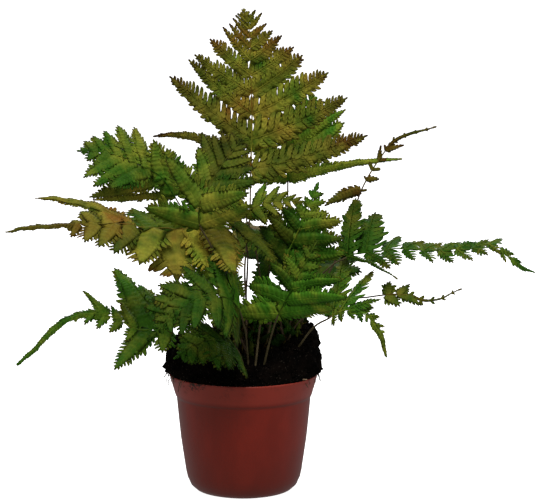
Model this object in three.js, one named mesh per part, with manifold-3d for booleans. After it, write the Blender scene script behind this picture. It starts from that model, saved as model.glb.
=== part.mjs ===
// An autumn fern in a small plastic nursery pot: the pot, its root ball of dark soil, and the
// fronds that rise from one crown. Millimetres, +Z up. The origin is the middle of the pot's
// foot, and the front of the plant looks along -Y.
import * as THREE from "three";
import { mergeVertices } from "three/addons/utils/BufferGeometryUtils.js";
import Module from "manifold-3d";

const wasm = await Module();
wasm.setup();

const GAP = 0.3; // what touching pieces keep between them

// The pot: a tapered plastic cup with a flared collar round its mouth and holes in its foot.
const POT = {
  rimRadius: 60,
  height: 96,
  collarHeight: 18,
  collarFootRadius: 55.2,
  collarStep: 0.7,
  waistRadius: 51,
  waistHeight: 42,
  footRadius: 34,
  footRoundRadius: 46.6,
  footRoundHeight: 12,
  wall: 1.5,
  floor: 2,
  sides: 36,
  arcSteps: 3,
};
const DRAIN = { count: 6, radius: 4, ring: 24, sides: 8 };

// The root ball: it fills the pot, and two humps of it stand above the rim.
const SOIL = {
  frontEdge: 92,
  sideEdge: 102,
  crown: 118,
  overhang: 7,
  sides: 26,
  rings: [0.18, 0.38, 0.6, 0.8, 0.95],
  humps: [
    { x: 47, y: 10, wide: 21, deep: 28, high: 16 },
    { x: -46, y: 4, wide: 17, deep: 26, high: 6 },
    { x: 12, y: -4, wide: 22, deep: 20, high: 8 },
  ],
};

// What every frond shares. A frond is a stalk and a rib, and pairs of side branches (pinnae)
// that carry leaflets on both sides.
const FROND = {
  stalkRadius: 1.3,
  ribRadius: 0.9,
  tipRadius: 0.5,
  branchHold: 0.65, // half of the rib's length that a branch grows from
  branchRib: 0.55, // least half width of a branch between its leaflets
  web: 0.58, // share of a leaflet that is joined to the next one
  blade: 0.8, // thickness of the leaf
  sweep: 0.1, // branches curve towards the tip
  leafletLean: 0.55, // leaflets point forward
  leafletArch: 0.16, // and their tips bend down
  ahead: 1.12, // leaflets on the side towards the frond's tip are longer
  behind: 0.88,
  slim: 0.3, // most of a branch's length that one leaflet has
  neighbourShare: 0.48, // of the room between two branches that one leaflet takes
  spikeLength: 7, // a branch shorter than this has no leaflets
  stalkStep: 18,
};

// How a branch is bent clear of the other fronds: turned up or down, then also shortened.
const CLEAR = {
  distance: 3,
  step: 1.8,
  turns: [0, 12, -12, 24, -24, 36, -36],
  lengths: [1, 0.86, 0.72, 0.58, 0.44, 0.3],
  aboveSoil: 2.5,
};

// One entry for each frond: the points its rib passes through from inside the soil to its tip,
// the share of it that is bare stalk, the way its upper side faces, its pairs of branches and
// how much closer they stand towards the tip, the length of the longest on the left and the
// right, the share drawn out into a thin tail, the angle of the branches at the base and at
// the tip, how far they droop, the leaflets on one side of the longest branch with their
// greatest length, and the odd branches that grow out of line.
const LEFT = 1;
const RIGHT = -1;
const OLIVE = "#66652a";
const BRONZE = "#6b6630";
const GREEN = "#43641f";
const DARK = "#2f4a17";
const FRONDS = [
  {
    name: "frond_tall",
    path: [[10, 6, 103], [4, 10, 137], [1, 14, 177], [5, 20, 217], [6, 24, 260], [7, 25, 286],
      [7, 24, 314], [6, 20, 342], [5, 13, 370], [0, 5, 388]],
    bare: 0.54, face: [0, -1, 0.05], pairs: 12, crowding: 0.84,
    reach: [92, 98], tail: 0, angles: [70, 40], skew: 7,
    droop: 0, leaflets: 7, leaf: 14, colour: OLIVE,
    odd: [
      { pair: 0, side: LEFT, length: 102, angle: 50, droop: 0.5, wide: 7, fade: 0.8 },
      { pair: 0, side: RIGHT, length: 95, angle: 78, wide: 10 },
      { pair: 1, side: LEFT, length: 78, angle: 59 },
      { pair: 1, side: RIGHT, length: 80, angle: 70, wide: 11.5, fade: 2 },
      { pair: 2, side: RIGHT, length: 66, angle: 67, wide: 10 },
      { pair: 3, side: LEFT, length: 51, angle: 59 },
      { pair: 3, side: RIGHT, length: 47, angle: 60, wide: 8.5, fade: 5 },
      { pair: 4, side: LEFT, length: 40, angle: 50, wide: 6, fade: 4 },
      { pair: 4, side: RIGHT, length: 38, angle: 64, wide: 6.5 },
      { pair: 5, side: RIGHT, length: 29, angle: 57, wide: 5.5 },
      { pair: 6, side: RIGHT, length: 20, angle: 57, wide: 4.5 },
      { pair: 7, side: RIGHT, length: 15, angle: 57, wide: 2.6 },
    ],
  },
  {
    name: "frond_left_long",
    path: [[3, -12, 104], [2, -20, 157], [3, -32, 199], [-5, -44, 224], [-34, -62, 221],
      [-64, -76, 223], [-101, -84, 228], [-131, -88, 227], [-158, -88, 226], [-180, -86, 221]],
    bare: 0.41, face: [0.1, -0.6, 0.8], pairs: 13, crowding: 0.95,
    reach: [50, 36], tail: 0.2, bulge: 1.5, angles: [80, 50],
    droop: 0.2, leaflets: 5, leaf: 18, colour: BRONZE,
    odd: [
      { pair: 0, side: LEFT, length: 50, angle: 112, lift: 16, wide: 7 },
      { pair: 2, side: LEFT, length: 30, angle: 98 },
      { pair: 3, side: LEFT, length: 36, angle: 90, lift: -20, droop: 0.1, wide: 16, fade: 1.5 },
      { pair: 4, side: LEFT, length: 32, angle: 70, wide: 9 },
      { pair: 4, side: RIGHT, length: 29, angle: 68 },
      { pair: 5, side: LEFT, length: 27, angle: 62 },
      { pair: 5, side: RIGHT, length: 86, angle: 38, droop: 0.3, wide: 3 },
            { pair: 6, side: RIGHT, length: 25, angle: 63, wide: 7 },
      { pair: 7, side: RIGHT, length: 20, angle: 65, wide: 4 },
    ],
  },
  {
    name: "frond_left_high",
    path: [[-4, 14, 101], [-18, 18, 160], [-39, 14, 208], [-55, 6, 238], [-65, 0, 254],
      [-79, -8, 264], [-98, -16, 273], [-115, -22, 277], [-130, -28, 278]],
    bare: 0.61, face: [-0.2, -0.75, 0.65], pairs: 8, crowding: 0.9,
    reach: [36, 44], tail: 0, bulge: 1.8, angles: [72, 45],
    droop: 0.1, leaflets: 4, leaf: 12, colour: GREEN,
    odd: [
      { pair: 0, side: LEFT, length: 63, angle: 65, lift: -30, wide: 2.5 },
      { pair: 0, side: RIGHT, length: 38, angle: 25, wide: 8 },
      { pair: 1, side: LEFT, length: 57, angle: 57, lift: -16, wide: 5 },
      { pair: 1, side: RIGHT, length: 31, angle: 34, wide: 7 },
      { pair: 2, side: LEFT, length: 42, angle: 44, wide: 6 },
      { pair: 3, side: LEFT, length: 42, angle: 49, wide: 5 },
      { pair: 4, side: LEFT, length: 37, angle: 44, wide: 4.5 },
    ],
  },
  {
    name: "frond_centre",
    path: [[-4, -14, 102], [-12, -50, 167], [-23, -80, 206], [-33, -94, 229], [-32, -100, 245],
      [-25, -97, 259], [-14, -89, 275], [-1, -79, 292]],
    bare: 0.66, face: [-0.3, -0.95, 0.2], pairs: 8, crowding: 0.85,
    reach: [58, 44], tail: 0, bulge: 1.5, angles: [66, 42],
    droop: 0.04, leaflets: 5, leaf: 16, colour: GREEN,
    odd: [
      { pair: 0, side: LEFT, length: 40, angle: 66, wide: 7.5 },
      { pair: 0, side: RIGHT, length: 44, angle: 76, wide: 7 },
      { pair: 1, side: LEFT, length: 42, angle: 56, wide: 6.5 },
      { pair: 1, side: RIGHT, length: 38, angle: 60, wide: 6 },
      { pair: 2, side: LEFT, length: 32, angle: 45, wide: 5 },
    ],
  },
  {
    name: "frond_right_long",
    path: [[33, 0, 104], [46, -8, 151], [64, -16, 180], [83, -24, 194], [103, -30, 199],
      [126, -36, 201], [153, -42, 201], [176, -46, 203], [191, -50, 207], [202, -52, 201],
      [214, -54, 191], [226, -58, 185]],
    bare: 0.41, face: [0, -0.45, 0.9], pairs: 12, crowding: 0.96,
    reach: [21, 18], tail: 0, bulge: 3, angles: [62, 42],
    droop: 0.15, leaflets: 4, leaf: 10, colour: GREEN,
    odd: [
      { pair: 0, side: LEFT, length: 55, angle: 71, lift: 32, wide: 9 },
      { pair: 0, side: RIGHT, length: 52, angle: 39, droop: 0.3, wide: 2 },
      { pair: 1, side: LEFT, length: 46, angle: 89, lift: 20, wide: 9 },
      { pair: 1, side: RIGHT, length: 26, angle: 46, wide: 5 },
      { pair: 2, side: LEFT, length: 24, angle: 78, wide: 5.5 },
      { pair: 3, side: RIGHT, length: 13, angle: 54 },
      { pair: 4, side: RIGHT, length: 14, angle: 57 },
    ],
  },
  {
    name: "frond_low_left",
    path: [[-6, 0, 102], [-24, -18, 134], [-43, -34, 143], [-62, -42, 140], [-81, -50, 140],
      [-95, -54, 147], [-106, -57, 153], [-123, -60, 154], [-138, -63, 150], [-151, -66, 139],
      [-161, -68, 128], [-175, -70, 116]],
    bare: 0.39, face: [0, -0.7, 0.7], pairs: 12, crowding: 0.97,
    reach: [26, 14], tail: 0.3, angles: [70, 45],
    droop: 0.12, leaflets: 4, leaf: 10, colour: GREEN,
    odd: [
      { pair: 0, side: LEFT, length: 20, angle: 66, wide: 7 },
      { pair: 0, side: RIGHT, length: 53, angle: 91, wide: 7 },
      { pair: 1, side: LEFT, length: 43, angle: 40, wide: 7.5 },
      { pair: 1, side: RIGHT, length: 74, angle: 89, wide: 12, fade: 1.3 },
      { pair: 2, side: LEFT, length: 12, angle: 65 },
      { pair: 2, side: RIGHT, length: 24, angle: 62, wide: 4.5 },
      { pair: 3, side: LEFT, length: 12, angle: 63 },
      { pair: 3, side: RIGHT, length: 14, angle: 50, wide: 3.5 },
      { pair: 4, side: RIGHT, length: 27, angle: 47, wide: 5, fade: 1 },
    ],
  },
  {
    name: "frond_front_left",
    path: [[4, -26, 102], [2, -50, 133], [-1, -72, 152], [-6, -92, 167], [-17, -107, 176],
      [-30, -120, 178], [-44, -132, 173], [-57, -141, 162], [-70, -146, 150]],
    bare: 0.45, face: [0.1, -0.8, 0.6], pairs: 9, crowding: 0.88,
    reach: [38, 48], tail: 0, angles: [84, 45],
    droop: 0.14, leaflets: 4, leaf: 16, colour: GREEN,
    odd: [
      { pair: 0, side: LEFT, length: 33, angle: 73 },
      { pair: 2, side: RIGHT, length: 34, angle: 56 },
      { pair: 3, side: LEFT, length: 27, angle: 46, wide: 5.5 },
      { pair: 3, side: RIGHT, length: 32, angle: 46, wide: 6 },
      { pair: 4, side: LEFT, length: 25, angle: 40, wide: 4.5 },
      { pair: 4, side: RIGHT, length: 25, angle: 50, wide: 6 },
      { pair: 5, side: RIGHT, length: 23, angle: 62, wide: 5 },
    ],
  },
  {
    name: "frond_front_right",
    path: [[15, -28, 102], [21, -50, 133], [27, -67, 155], [34, -80, 171], [40, -88, 185],
      [47, -93, 199], [55, -95, 215]],
    bare: 0.48, face: [0, -0.9, 0.45], pairs: 7, crowding: 0.86,
    reach: [46, 38], tail: 0, angles: [78, 45],
    droop: 0.12, leaflets: 5, leaf: 16, colour: GREEN,
    odd: [
      { pair: 0, side: LEFT, length: 43, angle: 126, wide: 9 },
      { pair: 0, side: RIGHT, length: 52, angle: 42, wide: 7 },
      { pair: 1, side: LEFT, length: 35, angle: 111, wide: 8 },
      { pair: 1, side: RIGHT, length: 58, angle: 38, wide: 6 },
      { pair: 2, side: RIGHT, length: 44, angle: 41, wide: 5 },
    ],
  },
  {
    name: "frond_right_low",
    path: [[35, -14, 105], [53, -34, 136], [67, -46, 148], [76, -54, 155], [85, -58, 157],
      [95, -60, 152], [105, -62, 140], [111, -62, 121]],
    bare: 0.5, face: [0.1, -0.6, 0.8], pairs: 9, crowding: 0.97,
    reach: [20, 12], tail: 0, angles: [72, 42],
    droop: 0.1, leaflets: 3, leaf: 9, colour: GREEN,
    odd: [
      { pair: 0, side: LEFT, length: 67, angle: 89, wide: 8.5 },
      { pair: 1, side: LEFT, length: 47, angle: 70, wide: 7 },
      { pair: 2, side: LEFT, length: 24, angle: 33, wide: 4 },
    ],
  },
  {
    name: "frond_right_mid",
    path: [[14, -16, 103], [25, -38, 160], [34, -56, 199], [41, -65, 217], [47, -70, 231],
      [52, -72, 244], [57, -71, 257]],
    bare: 0.6, face: [0, -0.95, 0.3], pairs: 7, crowding: 0.84,
    reach: [36, 40], tail: 0, angles: [76, 38],
    droop: 0.1, leaflets: 4, leaf: 14, colour: GREEN,
    odd: [
      { pair: 0, side: RIGHT, length: 46, angle: 62, wide: 7 },
      { pair: 1, side: RIGHT, length: 39, angle: 52, wide: 7 },
      { pair: 2, side: RIGHT, length: 33, angle: 48, wide: 6 },
      { pair: 3, side: LEFT, length: 12, angle: 55 },
      { pair: 4, side: LEFT, length: 7, angle: 45 },
    ],
  },
  {
    name: "frond_bronze_right",
    path: [[9, -33, 104], [14, -32, 160], [9, -26, 203], [2, -28, 226], [11, -32, 235],
      [25, -35, 239], [39, -37, 239], [50, -38, 237]],
    bare: 0.7, face: [0, -0.6, 0.8], pairs: 7, crowding: 0.9,
    reach: [32, 28], tail: 0, angles: [75, 45],
    droop: 0.12, leaflets: 3, leaf: 10, colour: BRONZE,
  },
  {
    name: "frond_right_thin",
    path: [[38, 3, 111], [52, 10, 148], [65, 12, 167], [83, 12, 204], [95, 8, 243],
      [112, 2, 273], [125, -2, 286], [153, -8, 295]],
    bare: 0.63, face: [0, -1, 0.3], pairs: 9, crowding: 0.99,
    reach: [9, 9], tail: 0, angles: [60, 40],
    droop: 0.1, leaflets: 1, leaf: 4, colour: DARK,
    odd: [
      { pair: 0, side: LEFT, length: 30, angle: 124, droop: 0.3, wide: 4 },
      { pair: 0, side: RIGHT, length: 5, angle: 60 },
      { pair: 1, side: LEFT, length: 4, angle: 60 },
      { pair: 3, side: LEFT, length: 10, angle: 30, wide: 1.6 },
      { pair: 4, side: RIGHT, length: 13, angle: 34, wide: 2.2 },
    ],
  },
  {
    name: "frond_right_strand",
    path: [[26, -12, 102], [44, -20, 140], [72, -28, 157], [103, -34, 163], [112, -35, 165],
      [126, -36, 165], [141, -37, 161], [154, -38, 162], [171, -38, 170]],
    bare: 0.66, face: [0, -0.8, 0.6], pairs: 7, crowding: 0.99,
    reach: [10, 10], tail: 0.5, angles: [65, 40],
    droop: 0.1, leaflets: 1, leaf: 7, colour: DARK,
    odd: [
      { pair: 0, side: LEFT, length: 11, angle: 80, wide: 4.5 },
      { pair: 0, side: RIGHT, length: 12, angle: 50, wide: 5 },
      { pair: 1, side: LEFT, length: 12, angle: 55, wide: 3.5 },
      { pair: 1, side: RIGHT, length: 17, angle: 22, wide: 3.5 },
    ],
  },
  {
    name: "frond_back",
    path: [[29, 22, 101], [35, 46, 155], [37, 58, 204], [37, 60, 246], [39, 62, 266],
      [43, 64, 287], [50, 66, 303], [58, 64, 317]],
    bare: 0.67, face: [0, -1, 0.15], pairs: 8, crowding: 0.87,
    reach: [60, 94], tail: 0, angles: [82, 45],
    droop: 0.1, leaflets: 5, leaf: 13, colour: OLIVE,
    odd: [
      { pair: 0, side: LEFT, length: 42, angle: 94, wide: 3.5 },
      { pair: 0, side: RIGHT, length: 97, angle: 71, lift: 8, droop: 0.22, wide: 5, fade: 1 },
      { pair: 1, side: RIGHT, length: 54, angle: 46, wide: 9 },
      { pair: 2, side: RIGHT, length: 52, angle: 46, wide: 5 },
      { pair: 3, side: RIGHT, length: 36, angle: 37, wide: 4 },
      { pair: 4, side: RIGHT, length: 26, angle: 22 },
    ],
  },
  {
    name: "frond_soil_left",
    path: [[2, -36, 100], [-4, -50, 122], [-13, -64, 133], [-28, -78, 136], [-42, -88, 132],
      [-52, -94, 126]],
    bare: 0.36, face: [0.25, -0.55, 0.8], pairs: 6, crowding: 0.9,
    reach: [46, 40], tail: 0, angles: [88, 45],
    droop: 0.12, leaflets: 3, leaf: 11, colour: DARK,
    odd: [
      { pair: 0, side: LEFT, length: 30, angle: 87 },
      { pair: 0, side: RIGHT, length: 44, angle: 48 },
      { pair: 1, side: LEFT, length: 29, angle: 68 },
      { pair: 1, side: RIGHT, length: 40, angle: 48 },
    ],
  },
  {
    name: "frond_mid_dark",
    path: [[22, 2, 104], [22, -6, 152], [20, -16, 175], [22, -27, 190], [29, -38, 201],
      [40, -50, 208], [53, -60, 212]],
    bare: 0.62, face: [-0.1, -0.85, 0.5], pairs: 6, crowding: 0.86,
    reach: [40, 40], tail: 0, angles: [84, 45],
    droop: 0.12, leaflets: 4, leaf: 14, colour: DARK,
    odd: [
      { pair: 0, side: LEFT, length: 26, angle: 150, droop: 0.6, wide: 6 },
      { pair: 1, side: LEFT, length: 45, angle: 145, wide: 6 },
    ],
  },
  {
    name: "frond_mid_left",
    path: [[-16, 8, 102], [-15, -2, 146], [-14, -20, 171], [-18, -33, 187], [-27, -40, 196],
      [-38, -48, 201], [-51, -54, 204]],
    bare: 0.62, face: [0.1, -0.85, 0.5], pairs: 6, crowding: 0.86,
    reach: [38, 40], tail: 0, angles: [84, 45],
    droop: 0.12, leaflets: 4, leaf: 14, colour: DARK,
    odd: [
      { pair: 0, side: RIGHT, length: 30, angle: 150, droop: 0.4, wide: 6 },
      { pair: 1, side: RIGHT, length: 30, angle: 125, wide: 6 },
    ],
  },
  {
    name: "frond_back_left",
    path: [[6, 32, 101], [-4, 50, 146], [-16, 70, 175], [-26, 88, 187], [-40, 116, 190],
      [-55, 146, 184], [-67, 176, 167]],
    bare: 0.46, face: [0, -0.2, 1], pairs: 6, crowding: 0.92,
    reach: [50, 50], tail: 0, angles: [76, 45],
    droop: 0.12, leaflets: 3, leaf: 12, colour: GREEN,
  },
  {
    name: "frond_back_right",
    path: [[23, 36, 100], [34, 56, 141], [47, 80, 163], [56, 96, 175], [70, 124, 178],
      [83, 150, 169], [91, 172, 149]],
    bare: 0.44, face: [0, -0.2, 1], pairs: 6, crowding: 0.92,
    reach: [48, 48], tail: 0, angles: [76, 45],
    droop: 0.12, leaflets: 3, leaf: 12, colour: GREEN,
  },
  {
    name: "frond_back_mid",
    path: [[14, 42, 100], [15, 62, 149], [15, 88, 181], [15, 110, 192], [15, 140, 197],
      [17, 170, 189], [20, 196, 171]],
    bare: 0.5, face: [0, -0.2, 1], pairs: 6, crowding: 0.92,
    reach: [42, 42], tail: 0, angles: [76, 45],
    droop: 0.12, leaflets: 2, leaf: 11, colour: BRONZE,
  },
];

const UP = new THREE.Vector3(0, 0, 1);
const vec = (p) => new THREE.Vector3(...p);
const mix = (a, b, t) => a + (b - a) * t;
const clamp = (x) => Math.min(1, Math.max(0, x));
const smooth = (x) => clamp(x) ** 2 * (3 - 2 * clamp(x));

// A repeatable draw between -1 and 1 for the branch at this pair and side of this frond.
function scatter(frond, pair, side, salt) {
  const seed = Math.sin(frond * 12.9898 + pair * 78.233 + side * 37.719 + salt * 4.581) * 43758.5453;
  return 2 * (seed - Math.floor(seed)) - 1;
}

// ---- solids ----

function toManifold(geometry) {
  const bare = geometry.clone();
  bare.deleteAttribute("normal");
  bare.deleteAttribute("uv");
  const merged = mergeVertices(bare, 1e-4);
  return new wasm.Manifold(
    new wasm.Mesh({
      numProp: 3,
      vertProperties: new Float32Array(merged.attributes.position.array),
      triVerts: new Uint32Array(merged.index.array),
    }),
  );
}

function toGeometry(manifold) {
  const mesh = manifold.getMesh();
  const geometry = new THREE.BufferGeometry();
  geometry.setAttribute("position", new THREE.BufferAttribute(mesh.vertProperties, mesh.numProp));
  geometry.setIndex(new THREE.BufferAttribute(mesh.triVerts, 1));
  geometry.computeVertexNormals();
  return geometry;
}

// A surface that is put together point by point.
class Surface {
  points = [];
  faces = [];

  point(p) {
    this.points.push(p.x, p.y, p.z);
    return this.points.length / 3 - 1;
  }

  triangle(a, b, c) {
    this.faces.push(a, b, c);
  }

  // Four corners in turn, cut along a-c, or along b-d for the lower face of a sheet.
  quad(a, b, c, d, lower = false) {
    if (lower) this.faces.push(a, b, d, b, c, d);
    else this.faces.push(a, b, c, a, c, d);
  }

  geometry() {
    const geometry = new THREE.BufferGeometry();
    geometry.setAttribute("position", new THREE.Float32BufferAttribute(this.points, 3));
    geometry.setIndex(this.faces);
    geometry.computeVertexNormals();
    return geometry;
  }
}

// ---- the pot ----

// The wall's outline from the foot to the rim, moved inwards by the wall where it is the inside.
function potSide(inset) {
  const p = POT;
  const floor = inset ? p.floor : 0;
  const side = [];
  for (let i = 0; i <= p.arcSteps; i++) {
    const a = ((i / p.arcSteps) * Math.PI) / 2;
    const r = mix(p.footRadius, p.footRoundRadius, Math.sin(a)) - inset;
    side.push([r, mix(floor, p.footRoundHeight, 1 - Math.cos(a))]);
  }
  const collarFoot = p.height - p.collarHeight;
  side.push([p.waistRadius - inset, p.waistHeight]);
  side.push([p.collarFootRadius - p.collarStep - inset, collarFoot - p.collarStep]);
  side.push([p.collarFootRadius - inset, collarFoot]);
  side.push([p.rimRadius - inset, p.height]);
  return side;
}

// Radius of the pot's inner wall at a height.
function innerRadius(z) {
  const side = potSide(POT.wall);
  const above = side.findIndex(([, height]) => height > z);
  if (above < 0) return side.at(-1)[0];
  if (above === 0) return side[0][0];
  const [r0, z0] = side[above - 1];
  const [r1, z1] = side[above];
  return mix(r0, r1, (z - z0) / (z1 - z0));
}

// A profile turned about the pot's axis, which becomes +Z.
function turned(profile, sides) {
  const points = profile.map(([r, z]) => new THREE.Vector2(r, z));
  return new THREE.LatheGeometry(points, sides).rotateX(Math.PI / 2);
}

function potGeometry() {
  const profile = [[0, 0], ...potSide(0), ...potSide(POT.wall).reverse(), [0, POT.floor]];
  let solid = toManifold(turned(profile, POT.sides));
  for (let i = 0; i < DRAIN.count; i++) {
    const a = (2 * Math.PI * (i + 0.5)) / DRAIN.count;
    const hole = new THREE.CylinderGeometry(DRAIN.radius, DRAIN.radius, 4 * POT.floor, DRAIN.sides);
    hole.rotateX(Math.PI / 2).translate(DRAIN.ring * Math.cos(a), DRAIN.ring * Math.sin(a), 0);
    solid = solid.subtract(toManifold(hole));
  }
  return toGeometry(solid);
}

// ---- the soil ----

// 1 towards the sides and the back of the pot, 0 at its front.
const sideways = (x, y) => smooth((Math.atan2(y, Math.abs(x)) / (Math.PI / 2) + 0.85) / 0.55);

const edgeHeight = (x, y) => mix(SOIL.frontEdge, SOIL.sideEdge, sideways(x, y));

// Height of the root ball above a place: a dome with two humps, steep at the sides and the
// back, and sloping down to the rim in front.
function soilHeight(x, y) {
  const share = Math.hypot(x, y) / POT.rimRadius;
  const shoulder = mix(0.15, 0.97, sideways(x, y));
  const rise = 1 - smooth((share - shoulder) / (1 - shoulder));
  let top = SOIL.crown;
  for (const h of SOIL.humps)
    top += h.high * Math.exp(-(((x - h.x) / h.wide) ** 2) - ((y - h.y) / h.deep) ** 2);
  return mix(edgeHeight(x, y), top, rise);
}

function soilGeometry(holes) {
  const surface = new Surface();
  const ring = (radiusAt, heightAt) =>
    Array.from({ length: SOIL.sides }, (_, i) => {
      const a = (2 * Math.PI * i) / SOIL.sides;
      const r = radiusAt(a);
      const x = r * Math.cos(a);
      const y = r * Math.sin(a);
      return surface.point(new THREE.Vector3(x, y, heightAt(x, y)));
    });
  const wallHeights = potSide(POT.wall).map(([, z]) => z);
  wallHeights[0] += GAP;
  wallHeights.pop();
  const lowest = POT.height + 2 * GAP;
  const above = (a) => edgeHeight(Math.cos(a), Math.sin(a)) - lowest;
  const lean = (a) => clamp(above(a) / (SOIL.sideEdge - lowest));
  const lip = (x, y) => Math.min(edgeHeight(x, y), POT.height + GAP) - 0.5;
  const mouthRadius = (a) => innerRadius(lip(Math.cos(a), Math.sin(a))) - 2 * GAP;
  const rings = wallHeights.map((z) => ring(() => innerRadius(z) - 2 * GAP, () => z));
  rings.push(ring(mouthRadius, lip));
  rings.push(ring((a) => mouthRadius(a) - 0.3 + (SOIL.overhang + 0.3) * lean(a), edgeHeight));
  for (const share of [...SOIL.rings].reverse())
    rings.push(ring(() => share * POT.rimRadius, soilHeight));
  const top = surface.point(new THREE.Vector3(0, 0, soilHeight(0, 0)));
  const foot = surface.point(new THREE.Vector3(0, 0, wallHeights[0]));
  for (let i = 0; i < SOIL.sides; i++) {
    const j = (i + 1) % SOIL.sides;
    surface.triangle(foot, rings[0][j], rings[0][i]);
    for (let k = 1; k < rings.length; k++)
      surface.quad(rings[k - 1][i], rings[k - 1][j], rings[k][j], rings[k][i]);
    surface.triangle(top, rings.at(-1)[i], rings.at(-1)[j]);
  }
  let solid = toManifold(surface.geometry());
  for (const hole of holes) solid = solid.subtract(toManifold(hole));
  return toGeometry(solid);
}

// ---- the fronds ----

// The frame of a frond's rib at a share of its length: its place, the way it runs, its upper
// side and its left side.
function ribFrame(frond, share) {
  const place = frond.curve.getPointAt(share);
  const run = frond.curve.getTangentAt(share).normalize();
  const upper = vec(frond.face).addScaledVector(run, -vec(frond.face).dot(run)).normalize();
  return { place, run, upper, left: new THREE.Vector3().crossVectors(upper, run) };
}

function ribRadius(frond, share) {
  if (share < frond.bare) return mix(FROND.stalkRadius, FROND.ribRadius, share / frond.bare);
  return mix(FROND.ribRadius, FROND.tipRadius, (share - frond.bare) / (1 - frond.bare));
}

// Each gap between two pairs is frond.crowding times the gap before it.
const bladeShare = (frond, pair) => (1 - frond.crowding ** pair) / (1 - frond.crowding ** frond.pairs);
const branchPlace = (frond, pair) => mix(frond.bare, 1, bladeShare(frond, pair));

// The branch of one pair on one side: how it grows, before it is bent clear of anything.
function branchPlan(frond, pair, side) {
  const share = bladeShare(frond, pair);
  const odd = frond.odd?.find((o) => o.pair === pair && o.side === side) ?? {};
  const longest = frond.reach[side === LEFT ? 0 : 1];
  const taper = clamp(1 - (share / (1 - frond.tail)) ** (frond.bulge ?? 1));
  const full = longest * taper * (1 + 0.06 * scatter(frond.index, pair, side, 1));
  const least = frond.tail ? 2.5 + 5 * (1 - share) : 2.5;
  const length = odd.length ?? Math.max(full, least);
  const usual = mix(...frond.angles, share) - side * (frond.skew ?? 0);
  const degrees = odd.angle ?? usual + 2.5 * scatter(frond.index, pair, side, 2);
  const angle = THREE.MathUtils.degToRad(degrees);
  const here = branchPlace(frond, pair);
  const next = pair + 1 < frond.pairs ? branchPlace(frond, pair + 1) - here : 1 - here;
  const before = pair ? here - branchPlace(frond, pair - 1) : next;
  const room = Math.min(next, before) * frond.long * Math.sin(angle);
  const roomy = Math.max(next, before) * frond.long * Math.sin(angle);
  const free = FROND.neighbourShare * mix(room, roomy, 0.5);
  const wide = odd.wide ?? Math.min(frond.leaf, FROND.slim * length, free);
  const most = Math.max(...frond.reach);
  return {
    pair,
    side,
    length,
    angle,
    wide,
    lift: odd.lift ?? 0,
    droop: odd.droop ?? frond.droop,
    fade: odd.fade ?? 2.8,
    tilt: 0.2 * scatter(frond.index, pair, side, 3),
    count: length < FROND.spikeLength ? 0 : Math.max(1, Math.round((frond.leaflets * length) / most)),
  };
}

// The branch's own line: point(v) for v from 0 at the rib to 1 at the tip, and its frame there.
function branchLine(frond, plan, turn, lengthShare) {
  const { place, run, upper, left } = ribFrame(frond, branchPlace(frond, plan.pair));
  const lift = THREE.MathUtils.degToRad(plan.lift + turn);
  const length = plan.length * lengthShare;
  const out = run.clone().multiplyScalar(Math.cos(plan.angle) * Math.cos(lift));
  out.addScaledVector(left, plan.side * Math.sin(plan.angle) * Math.cos(lift));
  out.addScaledVector(upper, Math.sin(lift));
  const bend = run.clone().multiplyScalar(FROND.sweep).addScaledVector(UP, -plan.droop);
  const face = upper.clone().addScaledVector(run, plan.tilt);
  const at = (v) => {
    const centre = place.clone().addScaledVector(out, length * v).addScaledVector(bend, length * v * v);
    const along = out.clone().addScaledVector(bend, 2 * v).normalize();
    const up = face.clone().addScaledVector(along, -face.dot(along)).normalize();
    return { centre, along, up, left: new THREE.Vector3().crossVectors(up, along) };
  };
  return { at, length };
}

// Half width of the branch at v, on its left (1) or right (-1).
function leafletLength(plan, v, side) {
  const ahead = side === -plan.side ? FROND.ahead : FROND.behind;
  return plan.wide * ahead * (1 - 0.85 * v ** plan.fade);
}

// The tip of the leaflet whose foot is round v, on the left (1) or right (-1) of its branch.
function leafletTip(line, plan, v, side) {
  const reach = leafletLength(plan, v, side);
  const frame = line.at(v);
  return frame.centre
    .addScaledVector(frame.left, side * reach)
    .addScaledVector(frame.along, FROND.leafletLean * reach)
    .addScaledVector(frame.up, -FROND.leafletArch * reach);
}

// Everything already grown, held in cells so that near points are found at once.
class Thicket {
  cells = new Map();

  key(x, y, z) {
    return [x, y, z].map((c) => Math.floor(c / CLEAR.distance)).join();
  }

  add(p, owner) {
    const key = this.key(p.x, p.y, p.z);
    if (!this.cells.has(key)) this.cells.set(key, []);
    this.cells.get(key).push({ p, owner });
  }

  touches(p, owner) {
    const d = CLEAR.distance;
    for (let i = -1; i <= 1; i++)
      for (let j = -1; j <= 1; j++)
        for (let k = -1; k <= 1; k++) {
          const cell = this.cells.get(this.key(p.x + i * d, p.y + j * d, p.z + k * d)) ?? [];
          if (cell.some((c) => c.owner !== owner && c.p.distanceTo(p) < d)) return true;
        }
    return false;
  }
}

function touchesPotOrSoil(p) {
  const r = Math.hypot(p.x, p.y);
  if (r > POT.rimRadius + 2 * SOIL.overhang) return false;
  return p.z < Math.max(soilHeight(p.x, p.y), POT.height) + CLEAR.aboveSoil;
}

// Points spread over a branch and its leaflets.
function branchSamples(line, plan) {
  const samples = [];
  const steps = Math.max(2, Math.ceil(line.length / CLEAR.step));
  for (let i = 1; i <= steps; i++) {
    const v = i / steps;
    const { centre, left, up } = line.at(v);
    const half = plan.count ? leafletLength(plan, v, -plan.side) : 0;
    const across = Math.ceil(half / CLEAR.step);
    for (let j = -across; j <= across; j++) {
      const w = across ? (j / across) * half : 0;
      samples.push(
        centre.clone().addScaledVector(left, w).addScaledVector(up, -FROND.leafletArch * Math.abs(w)),
      );
    }
  }
  return samples;
}

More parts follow.
